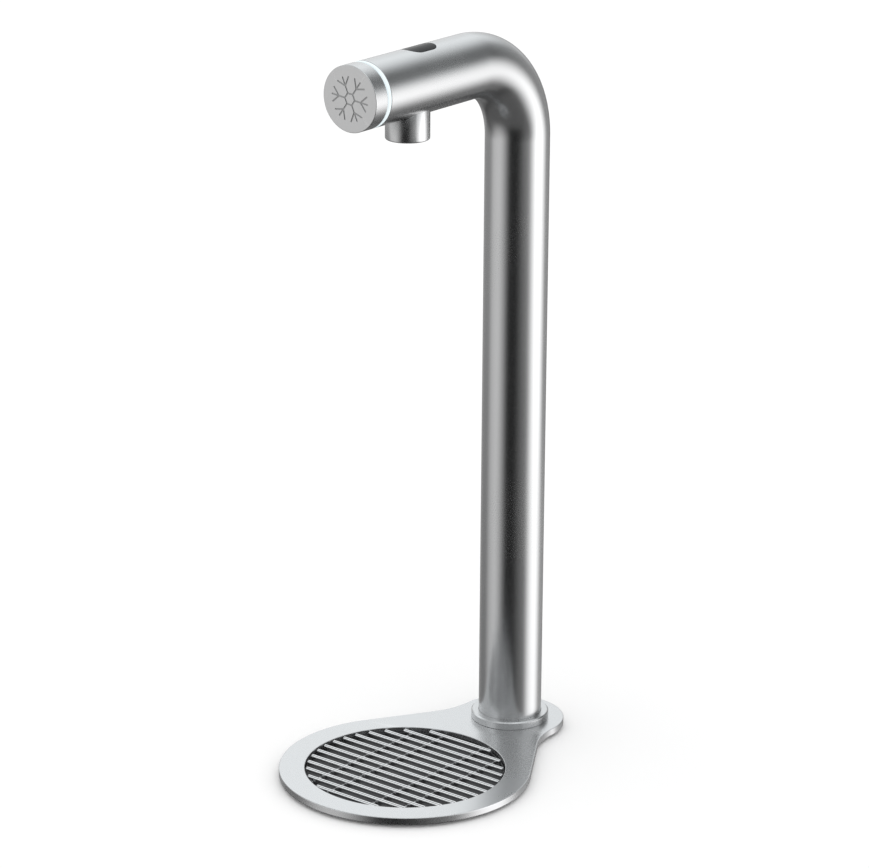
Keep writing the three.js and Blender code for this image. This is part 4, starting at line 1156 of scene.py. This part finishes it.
def pane_loop(inset, radius):
    """The window's outline, drawn in by inset and laid round the arm's axis at a radius."""
    width = max(WINDOW_WIDTH - 2 * inset, 1e-6)
    loop = []
    for x, y in obround(width, WINDOW_LENGTH - 2 * inset):
        angle = math.asin(max(-1, min(1, x / TUBE_RADIUS)))
        loop.append(Vector((radius * math.sin(angle), WINDOW_Y + y, ARM_Z + radius * math.cos(angle))))
    return loop


def pane_mesh(rings=10):
    """A pane with round ends, bent to the tube's own curve, with a small bevel round its edge."""
    half = WINDOW_WIDTH / 2
    insets = [0.0, WINDOW_BEVEL, 3 * WINDOW_BEVEL] + [half * k / rings for k in range(1, rings)]
    heights = [TUBE_RADIUS - WINDOW_BEVEL] + [TUBE_RADIUS] * (len(insets) - 1)
    levels = list(zip(insets, heights))[::-1]
    levels += [(inset, TUBE_RADIUS - WINDOW_THICKNESS) for inset in insets]
    points = [point for inset, radius in levels for point in pane_loop(inset, radius)]
    count = len(points) // len(levels)
    faces = []
    for first in range(0, len(points) - count, count):
        for k in range(count):
            m = (k + 1) % count
            faces.append((first + k, first + m, first + count + m, first + count + k))
    for first in (0, len(points) - count):
        for k in range(count // 2 - 1):
            faces.append((first + k, first + k + 1, first + count - 2 - k, first + count - 1 - k))
    return mesh_of("sensor_window_pane", points, faces)


def sensor_window():
    pane = pane_mesh()
    finished("sensor_window_pane", pane, [window_acrylic()], "stand", ["sensor_window"])


def grub_mesh():
    """A headless screw under the arm, with a hexagon socket in its end."""
    low = ARM_Z - screw_low.z
    profile = rounded([
        (0, low, 0),
        (GRUB_RADIUS, low, 0.25 * MM),
        (GRUB_RADIUS, low - GRUB_LENGTH, 0.3 * MM),
        (0, low - GRUB_LENGTH, 0),
    ], support=0.1 * MM, steps=3)
    blank = turned("head_grub_screw", profile, downwards(GRUB_Y), sides=48)
    hexagon = circle(0, 0, GRUB_SOCKET, 6)
    socket = prism("hex_socket", hexagon, downwards(GRUB_Y), low - GRUB_SOCKET_DEPTH, low + 1 * MM)
    return cut(blank, [socket])


def grub_screw():
    finished("head_grub_screw", grub_mesh(), [screw_steel()], "stand", ["head_setscrew"])


# ------------------------------------------------------------------ studio, floor and camera


# (degrees to the right of the camera, elevation, half width, half height, softness, strength)
STUDIO_PANELS = (
    (87, -13, 25, 21, 21, 1.78),
    (-68, -13, 24, 22, 25, 0.89),
    (181, 35, 23, 21, 27, 1.53),
    (42, -1, 26, 10, 27, 0.64),
    (150, -38, 56, 18, 6, 0.17),
    (44, 90, 47, 24, 22, 0.76),
    (-29, -78, 58, 37, 12, 0.11),
    (-14, 37, 38, 21, 7, 0.58),
    (142, 5, 21, 33, 18, 0.35),
    (-132, 1, 49, 24, 23, 0.43),
    (68, 33, 31, 49, 5, 0.68),
    (-100, 34, 45, 8, 18, 1.71),
    (180, 3, 30, 7, 5, 0.3),
)
STUDIO_BASE = 0.0144  # what the steel reflects between the panels
STUDIO_WHITE = (1.06, 1.06, 1.06, 1)  # what matt surfaces and the camera see


def soft_panel(w, way, azimuth, tilt, half_width, half_height, softness, strength):
    """The light of one soft rectangular panel, as seen in the direction way; all angles are in degrees."""
    azimuth, tilt = math.radians(azimuth), math.radians(tilt)
    centre = Vector((math.cos(azimuth) * math.cos(tilt), math.sin(azimuth) * math.cos(tilt), math.sin(tilt)))
    across = Vector((-math.sin(azimuth), math.cos(azimuth), 0))
    facing = w.vector("DOT_PRODUCT", way, centre).outputs["Value"]
    nearness = w.math("MAXIMUM", facing, 0.001)
    fade = math.tan(math.radians(softness))
    light = w.math("MULTIPLY", w.math("GREATER_THAN", facing, 0.02), strength)
    for axis, half in ((across, half_width), (centre.cross(across), half_height)):
        reach = math.tan(math.radians(half))
        side = w.vector("DOT_PRODUCT", way, axis).outputs["Value"]
        far = w.math("ABSOLUTE", w.math("DIVIDE", side, nearness))
        light = w.math("MULTIPLY", light, w.span(far, reach - fade, reach + fade, 1.0, 0.0))
    return light


def panel_light(w, way, view_azimuth):
    """All the panels together, tinted slightly cooler from above."""
    light = STUDIO_BASE
    for beside, *panel in STUDIO_PANELS:
        light = w.math("ADD", soft_panel(w, way, view_azimuth - 90 + beside, *panel), light)
    height = w.add("ShaderNodeSeparateXYZ", {0: way}).outputs["Z"]
    tint = w.mix(w.span(height, -0.1, 0.5), (1.0, 1.0, 1.0, 1), (0.95, 0.985, 1.0, 1))
    mirrored = w.vector("SCALE", tint)
    w.link(light, mirrored.inputs["Scale"])
    return mirrored.outputs[0]


def studio_world(view_azimuth):
    """Even white light for matt surfaces, and soft panels for what the steel reflects."""
    world = bpy.data.worlds.new("studio")
    bpy.context.scene.world = world
    world.use_nodes = True
    world.cycles.sampling_method = "NONE"
    world.node_tree.nodes.clear()
    w = Wires(world.node_tree)
    way = w.vector("NORMALIZE", w.add("ShaderNodeTexCoord").outputs["Generated"]).outputs[0]
    path = w.add("ShaderNodeLightPath").outputs
    reflected = w.math("MAXIMUM", path["Is Glossy Ray"], path["Is Transmission Ray"])
    seen = w.mix(reflected, STUDIO_WHITE, panel_light(w, way, view_azimuth))
    back = w.add("ShaderNodeBackground", {"Color": seen, "Strength": 1.0})
    out = w.add("ShaderNodeOutputWorld")
    w.link(back.outputs[0], out.inputs[0])


def floor_white():
    """A pale floor that can't be seen from below, where it lets the dispenser's underside show."""
    material, w, shader = start_material("pale_floor", Roughness=0.9, Specular_IOR_Level=0.1)
    marks = marks_on(w, coordinates(w, False), Patch_Size=0.8)
    w.link(w.mix(marks["Patches"], (0.985, 0.985, 0.985, 1), (1, 1, 1, 1)), shader.inputs["Base Color"])
    behind = w.add("ShaderNodeNewGeometry").outputs["Backfacing"]
    w.link(w.math("SUBTRACT", 1.0, behind), shader.inputs["Alpha"])
    return material


def pale_floor():
    half = FLOOR_HALF
    corners = [(-half, -half, 0), (half, -half, 0), (half, half, 0), (-half, half, 0)]
    mesh = bpy.data.meshes.new("floor")
    mesh.from_pydata(corners, [], [(0, 1, 2, 3)])
    mesh.materials.append(floor_white())
    floor = scratch(mesh)
    floor.location.z = cad_box[0].z - FLOOR_DROP
    floor.visible_glossy = False


VIEW_AZIMUTH = 38.68
VIEW_ELEVATION = 18.59
VIEW_DISTANCE = 2.3648
VIEW_ROLL = 0.373
VIEW_AIM = Vector((0, -0.00395, 0.2176))
VIEW_LENS = 160.64


def camera():
    azimuth, tilt = math.radians(VIEW_AZIMUTH), math.radians(VIEW_ELEVATION)
    back = Vector((math.sin(azimuth) * math.cos(tilt), -math.cos(azimuth) * math.cos(tilt), math.sin(tilt)))
    eye = bpy.data.objects.new("camera", bpy.data.cameras.new("camera"))
    bpy.context.scene.collection.objects.link(eye)
    eye.data.lens = VIEW_LENS
    eye.data.sensor_width = 36.0
    turn = (-back).to_track_quat("-Z", "Y").to_matrix() @ Matrix.Rotation(math.radians(VIEW_ROLL), 3, "Z")
    eye.matrix_world = Matrix.Translation(VIEW_AIM + back * VIEW_DISTANCE) @ turn.to_4x4()
    bpy.context.scene.camera = eye


finish_carried_nodes()
base_plate()
base_mat()
drip_pan()
grille_bars()
for number, spacing in enumerate(CROSS_ROD_SPACINGS, 1):
    grille_cross_rods(number, spacing)
tower_tube()
foot_collar()
spout_sleeve()
outlet_ring()
button_cap()
light_ring()
sensor_window()
grub_screw()

bpy.context.scene.view_settings.view_transform = "Standard"
studio_world(VIEW_AZIMUTH)
pale_floor()
camera()
